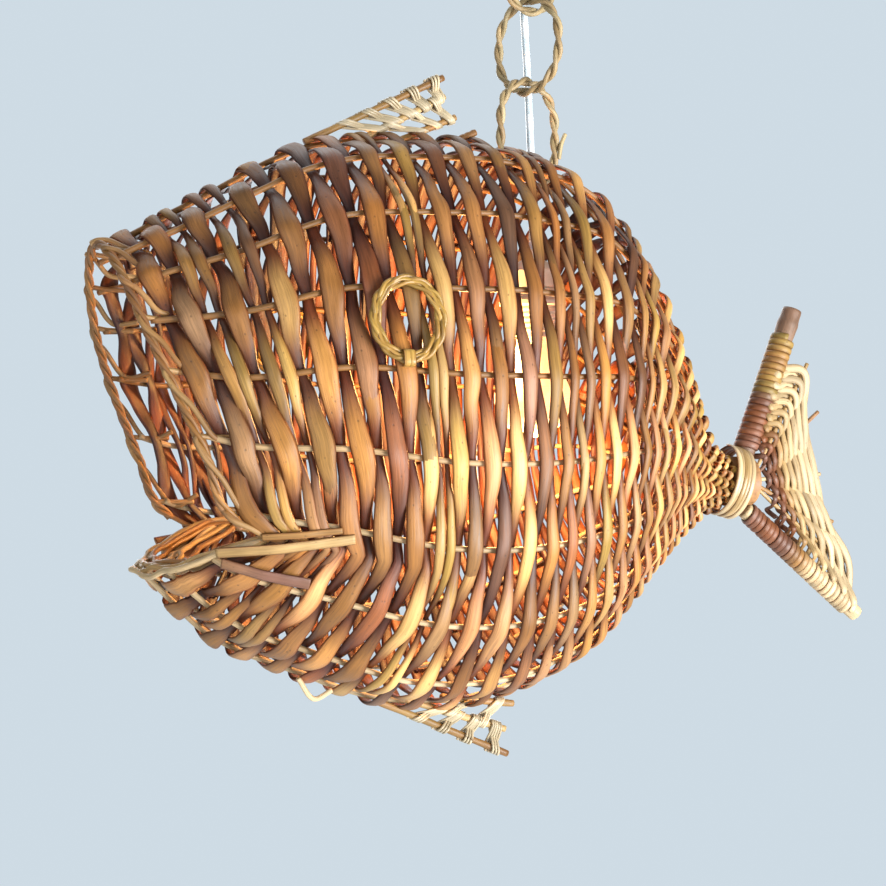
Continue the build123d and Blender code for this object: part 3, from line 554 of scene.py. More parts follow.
def part_rounds(lines, holes):
    """Rounds lean away from what comes through the back: each moves off a hole by its reach, less with the
    distance along the round and with the distance of the round itself."""
    s = np.arange(lines.shape[1]) / STEPS
    for x0, y0, reach in holes:
        s0 = ridge_s(x0, y0)
        away = (np.mod(s - s0 + KEEL_AT, STAKES) - KEEL_AT) * .058
        at = lines[:, int(round((s0 % STAKES) * STEPS)) % lines.shape[1]][:, None] - x0
        side = np.where(at >= 0, 1.0, -1.0)
        lines = lines + side * reach * np.exp(-(away[None] / .016) ** 2 / 2) * np.exp(-(at / (1.7 * reach)) ** 2 / 2)
    return lines


def blended(rng, t, base, other, share=.5, grain=.09):
    """A tint along a strip: one colour drifting into another, with slow changes of depth."""
    mix = np.clip(share * (.5 + wobble(rng, t, .55, 4, 9.0)), 0, 1)[:, None]
    return (np.array(base) * (1 - mix) + np.array(other) * mix) * (1 + wobble(rng, t, grain, 5, 4.0))[:, None]


def shade_of(rng, colours, weights):
    """One of the willow colours, picked by its weight, a little lighter or darker."""
    weights = np.array(weights, float)
    k = rng.choice(len(weights), p=weights / weights.sum())
    return np.array(colours[k]) * rng.uniform(.84, 1.16)


def palette(colours):
    return [np.array(getattr(colours, name)) * (1.04, .95, .82) for name in
            ("ochre", "cream", "tan", "purple", "grey", "russet", "olive", "pink")]


#          ochre cream tan  purple grey russet olive pink
WEIGHTS = {"head": (.24, .16, .18, .15, .13, .08, .05, .01),
           "middle": (.15, .28, .20, .12, .05, .06, .05, .09),
           "rear": (.05, .42, .14, .05, .02, .04, .05, .23)}


def smooth_step(value, low, high):
    """0 below low, 1 above high, and 3 u^2 - 2 u^3 of the way u between."""
    u = np.clip((value - low) / (high - low), 0, 1)
    return u * u * (3 - 2 * u)


def runs_of(keep):
    """(start, length) of each unbroken run round a ring of marks."""
    if keep.all():
        return [(0, len(keep))]
    starts = np.flatnonzero(keep & ~np.roll(keep, 1))
    return [(int(a), int(np.argmin(np.roll(keep, -a)))) for a in starts]


WIDEST = {"head": .0150, "middle": .0122, "rear": .0122}
# painted shade where a strip dives behind a stake: the darkest factor, and what it gains towards the top of a hump
DIVE_SHADE_LOW, DIVE_SHADE_RISE = np.array((.28, .12, .06)), np.array((.78, .93, .98))
BACK_SHADE = np.array((.30, .38, .44))
FLANK_LIGHT, FLANK_LEVEL, FLANK_SPREAD = np.array((.34, .38, .40)), -.012, .055


def weave_round(sheaf, zone, row, line, gap, sizes, colours):
    """One round: a strip in and out of the stakes, lift = inset + depth times a cosine of its place between
    stakes, pulled towards straight runs by its arcsine. Long rounds are several rods, each new one tucked in behind
    the last. Each hump has its own mix of two tints, with painted shade where it dives behind a stake, painted shade
    by BACK_SHADE towards the back, and a painted band of light by FLANK_LIGHT round FLANK_LEVEL."""
    rng = np.random.default_rng(500 + row)
    shades = palette(colours)
    count = len(line)
    s = np.arange(count) / STEPS
    spot = BODY.at(line, s)
    keep = line > mouth_x(spot[:, 2] - DATUM) - .004
    blend = np.interp(float(line[int(6 * STEPS)]), (-.20, -.06, .07, .11), (0, 1, 1, 2))
    cover = float(np.interp(blend, (0, 1, 2), (sizes.head_cover, sizes.middle_cover, sizes.rear_cover)))
    thick = float(np.interp(blend, (0, 1, 2), (sizes.head_thickness, sizes.middle_thickness, sizes.rear_thickness)))
    loose = sizes.looseness * float(np.interp(blend, (0, 1, 2), (1.0, .62, .2)))
    doubled = blend < .8 and rng.random() < .22
    for begin, length in runs_of(keep):
        whole = length == count
        if length < STEPS // 2:
            continue
        if whole:
            begin = int(rng.integers(count))
        cuts = [0]
        while length - cuts[-1] > 17 * STEPS:
            cuts.append(cuts[-1] + int(rng.uniform(7, 13) * STEPS))
        cuts.append(length)
        for a, b in zip(cuts[:-1], cuts[1:]):
            first, last = (a > 0 or whole), (b < length or whole)
            reach = int(.8 * STEPS)
            i = begin + np.arange(a - reach * first, b + reach * last + 1)
            t = i / STEPS
            over = np.arcsin(.955 * np.cos(np.pi * (t + row))) / math.asin(.955)
            ends = np.zeros(len(i))
            if first:
                ends = np.maximum(ends, np.clip(1 - (i - i[0]) / (1.6 * reach), 0, 1))
            if last:
                ends = np.maximum(ends, np.clip(1 - (i[-1] - i) / (1.6 * reach), 0, 1))
            base, other = shade_of(rng, shades, WEIGHTS[zone]), shade_of(rng, shades, WEIGHTS[zone])
            parts = ((-.27, .60), (.27, .56)) if doubled else ((0.0, 1.0),)
            for offset, share in parts:
                wide = gap[i % count] * cover
                x = line[i % count] + offset * wide + wobble(rng, t, loose * (.6 if doubled else 1.0), 5, 2.6)
                x = np.clip(x, BODY.x[0], .1795)
                lift = (-sizes.weave_inset + sizes.weave_depth * over + wobble(rng, t, .0005, 4, 1.7)
                        - .0026 * ends ** 2)
                path = BODY.at(x, t, lift)
                level = path[:, 2] - DATUM
                hump = np.round((t + row) / 2).astype(int)
                hump -= hump.min()
                mix, depth = rng.random((2, hump.max() + 1))
                mix = np.convolve(np.pad(mix[hump] * .9, 2, "edge"), np.ones(5) / 5, "valid")[:, None]
                depth = .62 + .74 * depth[hump] + wobble(rng, t, .06, 5, 4.0)
                tint = (base * (1 - mix) + other * mix) * depth[:, None]
                tint = tint * (1 - BACK_SHADE * np.clip((level - .06) / .12, 0, 1)[:, None])
                tint = tint * (1 + FLANK_LIGHT * np.exp(-((level - FLANK_LEVEL) / FLANK_SPREAD) ** 2)[:, None])
                peak = np.clip(over, -1, 1)
                wide = np.minimum(wide, WIDEST[zone])
                # painted shade: darkest where the strip dives behind a stake, a little brighter on the humps
                tint = tint * (DIVE_SHADE_LOW + DIVE_SHADE_RISE * smooth_step(over, -.75, .75)[:, None])
                width = wide * share * (.80 + .26 * peak) * (1 - .45 * ends) * (1 + wobble(rng, t, .022, 3, 3.2))
                roll = wobble(rng, t, .16 if blend < 1 else .07, 4, 2.0)
                strip(sheaf, path, BODY.out(x, t), width, thick * (1 - .35 * ends) * rng.uniform(.9, 1.1), tint, roll,
                      start=rng.uniform(0, 9))


def weave_zone(scene, zone):
    """All rounds of one zone, as one piece in place of its CAD shell."""
    first, last = ZONES[zone]
    places = first_places()
    lines = round_curves(places)
    lines = part_rounds(lines, ((-.029, -.0106, .0080), (.0235, .0088, .0080), (.0122, .0150, .0045)))
    s = np.arange(lines.shape[1]) / STEPS
    gaps = np.gradient(lines, axis=0) * np.linalg.norm(BODY.look(BODY.along, lines, s[None]), axis=-1)
    sheaf = Sheaf()
    for row in np.flatnonzero((places >= first) & (places < last)):
        weave_round(sheaf, zone, int(row), lines[row], gaps[row], scene.willow_sizes, scene.willow_colours)
    sheaf.piece("rounds_" + zone, LOOKS["willow"], "fish", "willow_weave", ["weave_" + zone])


def stake_line(s, lift, columns=120):
    """A stake's line along the body at s, from the mouth to the tie."""
    x = np.linspace(BODY.x[0] + .001, .1805, 700)
    level = BODY.at(x, np.full_like(x, s))[:, 2] - DATUM
    ahead = np.flatnonzero(x < mouth_x(level) - .001)
    x = np.linspace(x[ahead[-1] + 1] if len(ahead) else x[0], .1805, columns)
    return x, BODY.at(x, np.full_like(x, s), lift)


def into_tie(path, rng):
    """The stake's end goes on through the tie and gathers towards the tail's middle."""
    centre = np.array((0.0, DATUM - .031))
    off = path[-1, 1:] - centre
    ends = []
    for x, share in ((.188, .74), (.197, .62), (.206, .50 + rng.uniform(-.08, .04))):
        ends.append((x, *(centre + off * share)))
    return np.concatenate((path, through((path[-1], *ends), 14)[1:]))


def make_stakes(scene):
    sizes, colours = scene.willow_sizes, scene.willow_colours
    sheaf = Sheaf()
    for k in range(STAKES):
        rng = np.random.default_rng(900 + k)
        x, path = stake_line(k, -sizes.weave_inset)
        t = x * 30
        path = path + BODY.out(x, np.full_like(x, k)) * wobble(rng, t, .0004)[:, None]
        path = into_tie(path, rng)
        radius = sizes.stake_diameter / 2 * np.interp(np.linspace(0, 1, len(path)), (0, .75, 1), (1.0, .88, .62))
        low = np.interp(min(k, STAKES - k), (4, 5.5), (0, 1))
        base = (np.array(colours.stake) * (1 - low) + np.array(colours.pale) * low) * rng.uniform(.80, 1.05)
        tint = blended(rng, np.linspace(0, 12, len(path)), base, np.array(colours.ochre), .4)
        centre = np.array((0, 0, DATUM + .02))
        up = path - centre * [0, 0, 1] - path * [1, 0, 0]
        rod(sheaf, path, up, radius, tint, 8, start=rng.uniform(0, 9))
    sheaf.piece("stakes", LOOKS["willow"], "fish", "willow_stakes",
                ["stakes_back", "stakes_right", "stakes_left", "stakes_belly"])


# ------------------------------------------------------------------ mouth
def edge_line(lower, inset, count=160):
    """The mouth's edge on the right side, from the ridge to the corner, or from the corner to the keel: each
    angle's point is found by stepping x towards where the mouth is at that point's level."""
    a = np.linspace(0, np.pi, count * 2)
    x = np.full_like(a, -.29)
    for _ in range(60):
        level = np.interp(x, BODY.x, BODY.mid) + (np.interp(x, BODY.x, BODY.high) - inset) * np.cos(a)
        x = x * .6 + mouth_x(level) * .4
    high, wide = np.interp(x, BODY.x, BODY.high) - inset, np.interp(x, BODY.x, BODY.wide) - inset
    path = np.stack((x, -wide * np.sin(a), np.interp(x, BODY.x, BODY.mid) + high * np.cos(a) + DATUM), -1)
    below = level < MOUTH_EDGE[-1][1]
    return path[below] if lower else path[~below]


def both_sides(path):
    """A line from the right side, its mirror image joined on at its first point."""
    return np.concatenate((path[::-1], (path * [1, -1, 1])[1:]))


def rope(sheaf, path, up, plies, ply_radius, reach, turns, tint_of, closed=False, ease=1.0):
    """Plies twisted round a line: each keeps reach from it, at an angle that grows with the length travelled."""
    _, across, out = frames(path, np.broadcast_to(up, path.shape), closed)
    step = np.linalg.norm(np.diff(path, axis=0, append=path[:1] if closed else path[-1:]), axis=1)
    travel = np.concatenate(([0], np.cumsum(step)))[:-1]
    total = step.sum()
    for k in range(plies):
        angle = travel / total * turns * 2 * np.pi + k * 2 * np.pi / plies
        radial = across * np.cos(angle)[:, None] + out * np.sin(angle)[:, None]
        rod(sheaf, path + radial * reach, radial, ply_radius, tint_of(k, len(path)), 8, closed, ease, start=k * 1.7)


def make_mouth(scene):
    colours = scene.willow_colours
    sheaf = Sheaf()
    rng = np.random.default_rng(41)
    edge = edge_line(False, .0036)
    right = through(edge[::6], 150) - [.0046, 0, 0]
    loop = both_sides(right)
    up = loop - np.array((0, 0, DATUM + .03)) * [0, 0, 1] - loop * [1, 0, 0]

    def shade(k, n):
        return blended(np.random.default_rng(60 + k), np.linspace(0, 20, n),
                       np.array((colours.tan, colours.stake, colours.ochre)[k % 3]), colours.purple, .45)
    rope(sheaf, loop, up, 3, .0018, .0017, 11, shade)
    # stake ends turned down over the edge, each tucked behind the next
    for side in (1, -1):
        for k in np.arange(0.0, 6.6, 1.0):
            i = int(np.argmin(np.abs(np.array([ridge_or_flank(p) for p in edge]) - k)))
            j = min(len(edge) - 1, i + int(.95 * len(edge) / 6.4))
            h = (i + j) // 2
            out_i, out_j = outward(edge[i]), outward(edge[j])
            points = [edge[i] + [.024, 0, 0] - out_i * .001, edge[i] + [.006, 0, 0] - out_i * .0006,
                      edge[i] + [-.0065, 0, 0] + out_i * .0005,
                      (edge[i] * .62 + edge[h] * .38) + [-.0068, 0, 0] + out_i * .0024,
                      edge[h] + [-.0005, 0, 0] + outward(edge[h]) * .0036, edge[j] + [.0105, 0, 0] + out_j * .0006,
                      edge[j] * .75 + edge[h] * .25 + [.028, 0, 0] - out_j * .0030]
            path = through(np.array(points) * [1, side, 1], 60)
            up_here = path - np.array((0, 0, DATUM + .03)) * [0, 0, 1] - path * [1, 0, 0]
            tint = blended(rng, np.linspace(0, 6, 60), np.array(colours.stake) * rng.uniform(.8, 1.25),
                           colours.cream, .5)
            rod(sheaf, path, up_here, .0019, tint, 8)
    sheaf.piece("mouth_edge", LOOKS["willow"], "fish", "pale_willow", ["mouth_border"])

    sheaf = Sheaf()
    lip = edge_line(True, .006)
    for k in range(9):
        rng = np.random.default_rng(70 + k)
        inset = .0005 + .0022 * (k % 3)
        back = (-.004, .004, .012, .020, .001, .009, .017, .027, .034)[k]
        path = np.concatenate((lip[::-1][:: -1] * [1, -1, 1], lip[::-1]))[::7]
        path = path + [back, 0, 0]
        spread = np.linspace(-1, 1, len(path))
        centre = np.array((0, 0, DATUM + .02))
        inward = unit((centre - path) * [0, 1, 1])
        path = path + inward * (inset + .002 * wobble(rng, spread * 3, 1.0)[:, None]) + [0, 0, .003 * (k % 2)]
        path[:, 0] += wobble(rng, spread * 4, .0022)
        tail = rng.uniform(.03, .075)
        ends = []
        for side, first in ((-1, path[0]), (1, path[-1])):
            ends.append(np.array((first + [tail * .45, 0, .003], first + [tail, 0, .001 + .006 * rng.uniform(-1, 1)])))
        path = through(np.concatenate((ends[0][::-1], path, ends[1])), 150)
        tint = blended(rng, np.linspace(0, 14, 150), np.array((colours.pale, colours.cream, colours.stake)[k % 3]),
                       colours.tan, .4)
        rod(sheaf, path, (0, 0, 1), .0021 * rng.uniform(.8, 1.15), tint, 8, start=k)
    # loose strips low on each flank
    for side in (1, -1):
        for k, (x0, z0, x1, z1, w) in enumerate(((-.272, -.073, -.187, -.064, .0075), (-.268, -.080, -.212, -.094, .0085),
                                                 (-.246, -.062, -.196, -.058, .0050))):
            rng = np.random.default_rng(90 + k)
            x = np.linspace(x0, x1, 50)
            level = np.linspace(z0, z1, 50)
            s = np.array([BODY.s_of(a, b) for a, b in zip(x, level)])
            lift = .0005 + .0022 * np.sin(np.linspace(0, np.pi, 50)) + wobble(rng, x * 40, .0006)
            path = BODY.at(x, s, lift) * [1, side, 1]
            out = BODY.out(x, s) * [1, side, 1]
            colour = (colours.cream, colours.purple, colours.tan)[k]
            strip(sheaf, path, out, w, .0022, blended(rng, x * 60, np.array(colour), colours.tan, .4),
                  wobble(rng, x * 20, .1))
    sheaf.piece("jaw_bundle", LOOKS["willow"], "fish", "pale_willow", ["jaw_rods"])


def outward(point):
    """Away from the fish's middle line at a point."""
    return unit(np.array((0.0, point[1], (point[2] - DATUM - .03) * .6)))


def ridge_or_flank(point):
    """Roughly how many stakes from the ridge a point of the mouth's edge is."""
    i = int(np.clip(np.searchsorted(BODY.x, point[0]), 0, len(BODY.x) - 1))
    reach = np.clip((point[2] - DATUM - BODY.mid[i]) / BODY.high[i], -1, 1)
    return float(np.interp(math.acos(reach), BODY.angle[i], BODY.s))


# ------------------------------------------------------------------ eyes
def make_eyes(scene):
    """Coils of straw skein on the flanks: strands twisted round an ellipse in the flank's own plane, with a
    flat strap round the coil's foot."""
    sizes, colours = scene.willow_sizes, scene.willow_colours
    x0, level = -.155, .082
    s = BODY.s_of(x0, level)
    middle = BODY.at(x0, s)
    out = BODY.out(x0, s)
    along = unit(BODY.look(BODY.along, x0, s))
    high = unit(np.cross(out, along))
    for side, name in ((1, "right"), (-1, "left")):
        flip = np.array((1, side, 1))
        sheaf = Sheaf()
        a = np.linspace(0, 2 * np.pi, 181)[:-1]
        half_w, half_h = sizes.eye_width / 2 - .0038, sizes.eye_height / 2 - .0038

        def ring(grow, lift):
            p = (middle + along * (np.cos(a) * (half_w + grow))[:, None] + high * (np.sin(a) * (half_h + grow))[:, None]
                 + out * lift)
            return p * flip
        for k, (grow, lift, turns) in enumerate(((-.0017, .0030, 5), (.0017, .0034, 5))):
            def shade(j, n, k=k):
                rng = np.random.default_rng(120 + k * 2 + j)
                straw = np.array(colours.straw) * (1.0, .82)[j]
                return blended(rng, np.linspace(0, 16, n), straw, colours.ochre, .6, .16)
            rope(sheaf, ring(grow, lift), out * flip, 2, .0016, .0012, turns + k, shade, closed=True)
        p = ring(0, .0048)
        rng = np.random.default_rng(130)
        sway = wobble(rng, a / 2 / np.pi * 9, .0012)
        strip(sheaf, (p[8:150] + unit(p[8:150] - middle * flip) * sway[8:150, None]), out * flip, .0030, .0014,
              blended(rng, np.linspace(0, 9, 142), np.array(colours.straw) * 1.15, colours.stake, .5))
        sheaf.piece("eye_coil_" + name, LOOKS["skein"], "fish", "straw_skein", ["eye_ring_" + name])
        sheaf = Sheaf()
        foot = middle - high * (half_h + .0002)
        t = np.linspace(0, 4 * np.pi, 90)
        u, v = np.cos(t), np.sin(t)
        box_u = np.sign(u) * np.abs(u) ** .6 * .0053
        box_v = np.sign(v) * np.abs(v) ** .6 * .0046
        path = (foot + high * box_u[:, None] + out * (box_v + .0030)[:, None] + along * np.linspace(-.0022, .0022, 90)[:, None])
        rim = high * u[:, None] + out * v[:, None]
        strip(sheaf, path * flip, rim * flip, .0062, .0011,
              blended(np.random.default_rng(133), t, np.array(colours.straw) * 1.1, colours.ochre, .5))
        sheaf.piece("eye_strap_wrap_" + name, LOOKS["skein"], "fish", "straw_skein", ["eye_strap_" + name])


# ------------------------------------------------------------------ fins
def side_point(x, level, y=0.0):
    return np.array((x, y, level + DATUM))


def fin_rod(sheaf, root, tip, radius, tint, bow=0.0):
    """A round rod with a cut tip, bowed a little off the straight line."""
    root, tip = np.array(root, float), np.array(tip, float)
    t = np.linspace(0, 1, 40)[:, None]
    path = root + (tip - root) * t + np.array((0, 0, 1.0)) * bow * 4 * t * (1 - t)
    swell = 1 + .06 * np.sin(t[:, 0] * 23) + .10 * np.exp(-((t[:, 0] - .42) / .03) ** 2)
    rod(sheaf, path, (0, 1, 0), radius * swell, tint, 10)


def lashing(sheaf, first, second, t0, t1, turns, reach, radius, tint, lanes=3):
    """Skein wound in a figure of eight round two rods: across them as a cosine, and from side to side as a
    sine of twice that angle, moving along the rods."""
    n = int(30 * turns)
    angle = np.linspace(0, 2 * np.pi * turns, n)
    for lane in range(lanes):
        move = np.linspace(t0, t1, n) + (lane - (lanes - 1) / 2) * .021
        a = first[0] + (first[1] - first[0]) * move[:, None]
        b = second[0] + (second[1] - second[0]) * move[:, None]
        gap = np.linalg.norm(b - a, axis=1)
        u = .5 - .5 * np.cos(angle) * (1 + 2 * reach / gap)
        path = a + (b - a) * u[:, None] + np.array((0, 1.0, 0)) * (np.sin(2 * angle) * reach * 1.08)[:, None]
        rod(sheaf, path, (.3, .2, 1), radius, tint, 6, start=lane)


def make_fins(scene):
    colours = scene.willow_colours
    back = (((-.172, .223), (-.072, .274)), ((-.134, .225), (-.071, .260)), ((-.097, .229), (-.062, .245)))
    belly = (((-.117, -.194), (-.018, -.237)), ((-.092, -.194), (-.020, -.218)), ((-.062, -.192), (-.013, -.199)))
    for name, rods, wraps in (
            ("dorsal", back, ((0, 1, .26, .30, 1.5), (0, 1, .42, .47, 1.5), (0, 1, .58, .63, 1.5),
                              (0, 1, .74, .79, 1.5), (0, 1, .90, .95, 1.5), (1, 2, .34, .40, 1.5),
                              (1, 2, .60, .66, 1.5), (1, 2, .84, .90, 1.5))),
            ("belly", belly, ((0, 1, .30, .35, 1.5), (0, 1, .48, .53, 1.5), (0, 1, .66, .71, 1.5), (0, 1, .86, .92, 1.5),
                              (1, 2, .40, .47, 1.5), (1, 2, .72, .80, 1.5)))):
        sheaf, lines = Sheaf(), []
        for k, ((x0, z0), (x1, z1)) in enumerate(rods):
            rng = np.random.default_rng(150 + k)
            root, tip = side_point(x0, z0), side_point(x1, z1)
            start = root - unit(tip - root) * .012
            lines.append((start, tip))
            tint = blended(rng, np.linspace(0, 6, 40), np.array((colours.stake, colours.cream, colours.tan)[k]),
                           colours.olive, .4)
            fin_rod(sheaf, start, tip, .00265, tint)
        if name == "dorsal":
            fin_rod(sheaf, side_point(-.062, .227), side_point(-.045, .235), .00265, colours.stake)
        else:
            path = through([side_point(-.192, -.168, -.012), side_point(-.178, -.184, -.010),
                            side_point(-.166, -.178, -.012)], 30)
            rod(sheaf, path, (0, 1, 0), .0019, colours.pale, 8)
        sheaf.piece(name + "_fin_rods", LOOKS["willow"], "fish", "willow_stakes", [name + "_rods"])
        sheaf = Sheaf()
        for k, (i, j, t0, t1, turns) in enumerate(wraps):
            rng = np.random.default_rng(170 + k)
            skein = np.array(colours.skein) * rng.uniform(.85, 1.05)
            lashing(sheaf, lines[i], lines[j], t0, t1, turns, .0037, .00105, skein)
        sheaf.piece(name + "_fin_skein", LOOKS["skein"], "fish", "straw_skein", [name + "_weave"])


# ------------------------------------------------------------------ tail
def wound(sheaf, root, way, length, radius, pitch, tint_of, seed):
    """Flat skein wound closely along a rod: a helix of one turn to each pitch."""
    rng = np.random.default_rng(seed)
    side = np.array((0.0, 1.0, 0.0))
    third = np.cross(way, side)
    turns = length / pitch
    n = int(turns * 20)
    angle = np.linspace(0, turns * 2 * np.pi, n)
    radial = side * np.cos(angle)[:, None] + third * np.sin(angle)[:, None]
    step = angle / 2 / np.pi * pitch
    sway = wobble(rng, angle / 2 / np.pi, .00035, 4, 3.0)
    path = root + way * (step + sway)[:, None] + radial * radius
    tint = tint_of(step / length, rng)
    strip(sheaf, path, radial, pitch * 1.08, .0021, tint, wobble(rng, angle / 9, .10))


def banded(stops, rng, share):
    """A tint from colour stops along a length, each turn a little different."""
    at, colours = zip(*stops)
    base = np.stack([np.interp(share, at, np.array(colours)[:, k]) for k in range(3)], -1)
    turn = rng.uniform(.86, 1.12, 80)[(share * 37).astype(int) % 80]
    return base * turn[:, None] * (1 + wobble(rng, share * 30, .07))[:, None]


def make_tail(scene):
    colours = scene.willow_colours
    rods = {"upper": (side_point(.199, -.008), side_point(.247, .110), .0085, .80),
            "lower": (side_point(.199, -.054), side_point(.312, -.144), .0070, .93)}
    for name, (root, tip, radius, share) in rods.items():
        rng = np.random.default_rng(200 + len(name) + ord(name[0]))
        way = unit(tip - root)
        length = float(np.linalg.norm(tip - root))
        sheaf = Sheaf()
        t = np.linspace(0, 1, 60)
        path = root + (tip - root) * t[:, None]
        knots = 1 + .035 * np.sin(t * 31) + .06 * np.exp(-((t - .9) / .02) ** 2) - .05 * (t > .985)
        bare = np.array(colours.grey) * .9 if name == "upper" else np.array(colours.pale)
        drift = colours.purple if name == "upper" else colours.cream
        rod(sheaf, path, (0, 1, 0), (radius - .0002) * knots, blended(rng, t * 9, bare, drift, .5), 24)
        sheaf.piece("tail_branch_" + name, LOOKS["willow"], "fish", "tail_willow", ["tail_rod_" + name])
        sheaf = Sheaf()
        if name == "upper":
            stops = ((0, colours.purple), (.30, colours.russet), (.44, colours.purple), (.52, colours.olive),
                     (.8, colours.tan),
                     (1, colours.olive))
        else:
            stops = ((0, colours.purple), (.16, colours.russet), (.34, colours.purple), (.48, colours.tan),
                     (.6, colours.pale),
                     (1, colours.pale))

        def tint_of(at, rng, stops=stops):
            return banded([(a, tuple(c)) for a, c in stops], rng, at)
        wound(sheaf, root + way * .004, way, length * share - .004, radius + .0009, .0053, tint_of, 210 + ord(name[0]))
        sheaf.piece("tail_winding_" + name, LOOKS["willow"], "fish", "tail_willow", ["tail_wrap_" + name])

    root = side_point(.205, -.031)
    tips = [side_point(*p) for p in ((.262, .066), (.273, .026), (.275, -.026), (.288, -.066), (.306, -.102))]
    sheaf = Sheaf()
    for k, tip in enumerate(tips):
        rng = np.random.default_rng(230 + k)
        t = np.linspace(0, 1, 50)[:, None]
        bow = np.array((.6, 0, .8)) * (.0035, .003, .001, -.002, -.003)[k]
        path = root + (tip - root) * t + bow * 4 * t * (1 - t)
        radius = np.interp(t[:, 0], (0, .3, 1), (.0013, .0021, .0017))
        tint = blended(rng, t[:, 0] * 6, np.array((colours.cream, colours.purple, colours.pale, colours.tan, colours.cream)[k]),
                       colours.tan, .5)
        rod(sheaf, path, (0, 1, 0), radius, tint, 8)
    sheaf.piece("tail_ribs", LOOKS["willow"], "fish", "tail_willow", ["tail_warps"])

    # wefts: fractions of the way from the root to an edge that runs smoothly over the rods and ribs
    edge = np.array([side_point(*p) for p in ((.2265, .060), (.2570, .0585), (.2600, .019), (.2680, -.0245),
                                              (.2820, -.0625), (.3010, -.0975), (.3085, -.1390))])
    sheaf = Sheaf()
    q = np.linspace(-.30, 6.30, 130)
    span = np.stack([smooth(np.stack((np.arange(7.0), edge[:, k]), 1), np.clip(q, 0, 6)) for k in range(3)], -1)
    near = np.exp(-(np.clip(q, 0, None) / .30) ** 2) * .0070 + np.exp(-(np.clip(6 - q, 0, None) / .30) ** 2) * .0060
    beyond = np.clip(np.maximum(-q, q - 6) / .30, 0, 1)
    count = 17
    for j in range(count):
        rng = np.random.default_rng(250 + j)
        f = .22 + .78 * j / (count - 1)
        path = root + (span - root) * f
        droop = .004 * np.sin(np.pi * np.clip(q, 0, 6) / 6) * (1 - f)
        path = path + np.stack((droop, np.zeros_like(q), -droop * .3), -1)
        wave = np.cos(np.pi * (q + j))
        path[:, 1] = (.0029 + near) * wave * np.cos(beyond * np.pi / 2) + wobble(rng, q, .0004)
        out_of = unit(edge[0] - edge[-1])
        path += out_of * (np.where(q < 0, beyond * .0085, 0) - np.where(q > 6, beyond * .0075, 0))[:, None]
        path[:, 0] += wobble(rng, q, .0007)
        base = banded([(0, tuple(colours.purple)), (.22, tuple(colours.russet)), (.36, tuple(colours.cream)),
                       (.8, tuple(colours.pale)), (1, tuple(colours.pale))],
                      np.random.default_rng(7 + j), np.full(len(q), (f - .22) / .78))
        tint = base * (1 + wobble(rng, q, .10))[:, None]
        # the wefts keep their rim at .8 or more, so little painted shade darkens them
        strip(sheaf, path, (0, -1, 0), (.0044 + .0026 * f) * (1 + wobble(rng, q, .04)), .0032,
              tint * .9, wobble(rng, q, .10), rim=np.maximum(SPLIT_RIM, .8))
    sheaf.piece("tail_wefts", LOOKS["willow"], "fish", "tail_willow", ["tail_web"])

    # binding: flat turns round the gathered stakes, tipped with the tie
    sheaf = Sheaf()
    turns = 4.6
    angle = np.linspace(0, turns * 2 * np.pi, 260)
    tip = math.radians(15)
    step = np.linspace(-.0078, .0078, 260) + wobble(np.random.default_rng(3), angle / 6, .0004)
    local = np.stack((step, -.0240 * np.sin(angle), .0280 * np.cos(angle)), -1)
    local += np.stack((0 * angle, -np.sin(angle), np.cos(angle)), -1) * (.0006 * np.sin(angle * .5))[:, None]
    lean = np.array(((math.cos(tip), 0, math.sin(tip)), (0, 1, 0), (-math.sin(tip), 0, math.cos(tip))))
    path = local @ lean.T + np.array((.184, 0, DATUM - .031))
    out = np.stack((0 * angle, -np.sin(angle), np.cos(angle)), -1) @ lean.T
    tint = banded([(0, tuple(colours.pale)), (.5, tuple(colours.cream)), (1, tuple(colours.pale))], np.random.default_rng(5),
                  np.linspace(0, 1, 260))
    strip(sheaf, path, out, .0050, .0026, tint)
    sheaf.piece("tail_binding", LOOKS["skein"], "fish", "pale_willow", ["tail_tie"])


# ------------------------------------------------------------------ chain and flex
def stadium(width, height, top, turn, count=220):
    """A ring's centre line, two half circles and two straight sides by length travelled, in an upright plane."""
    r = width / 2
    straight = max(height - width, 0.0)
    total = 2 * np.pi * r + 2 * straight
    d = np.arange(count) / count * total
    arc = np.pi * r
    a = d / r
    u = np.select([d < arc, d < arc + straight, d < 2 * arc + straight],
                  [r * np.cos(a), np.full_like(d, -r), r * np.cos(np.pi + (d - arc - straight) / r)], r)
    z = np.select([d < arc, d < arc + straight, d < 2 * arc + straight],
                  [r * np.sin(a), arc - d, r * np.sin(np.pi + (d - arc - straight) / r) - straight],
                  d - 2 * arc - 2 * straight)
    way = np.array((math.cos(turn), math.sin(turn), 0.0))
    return way * u[:, None] + np.array((0, 0, 1.0)) * (z + top - r)[:, None], np.array((-way[1], way[0], 0.0))


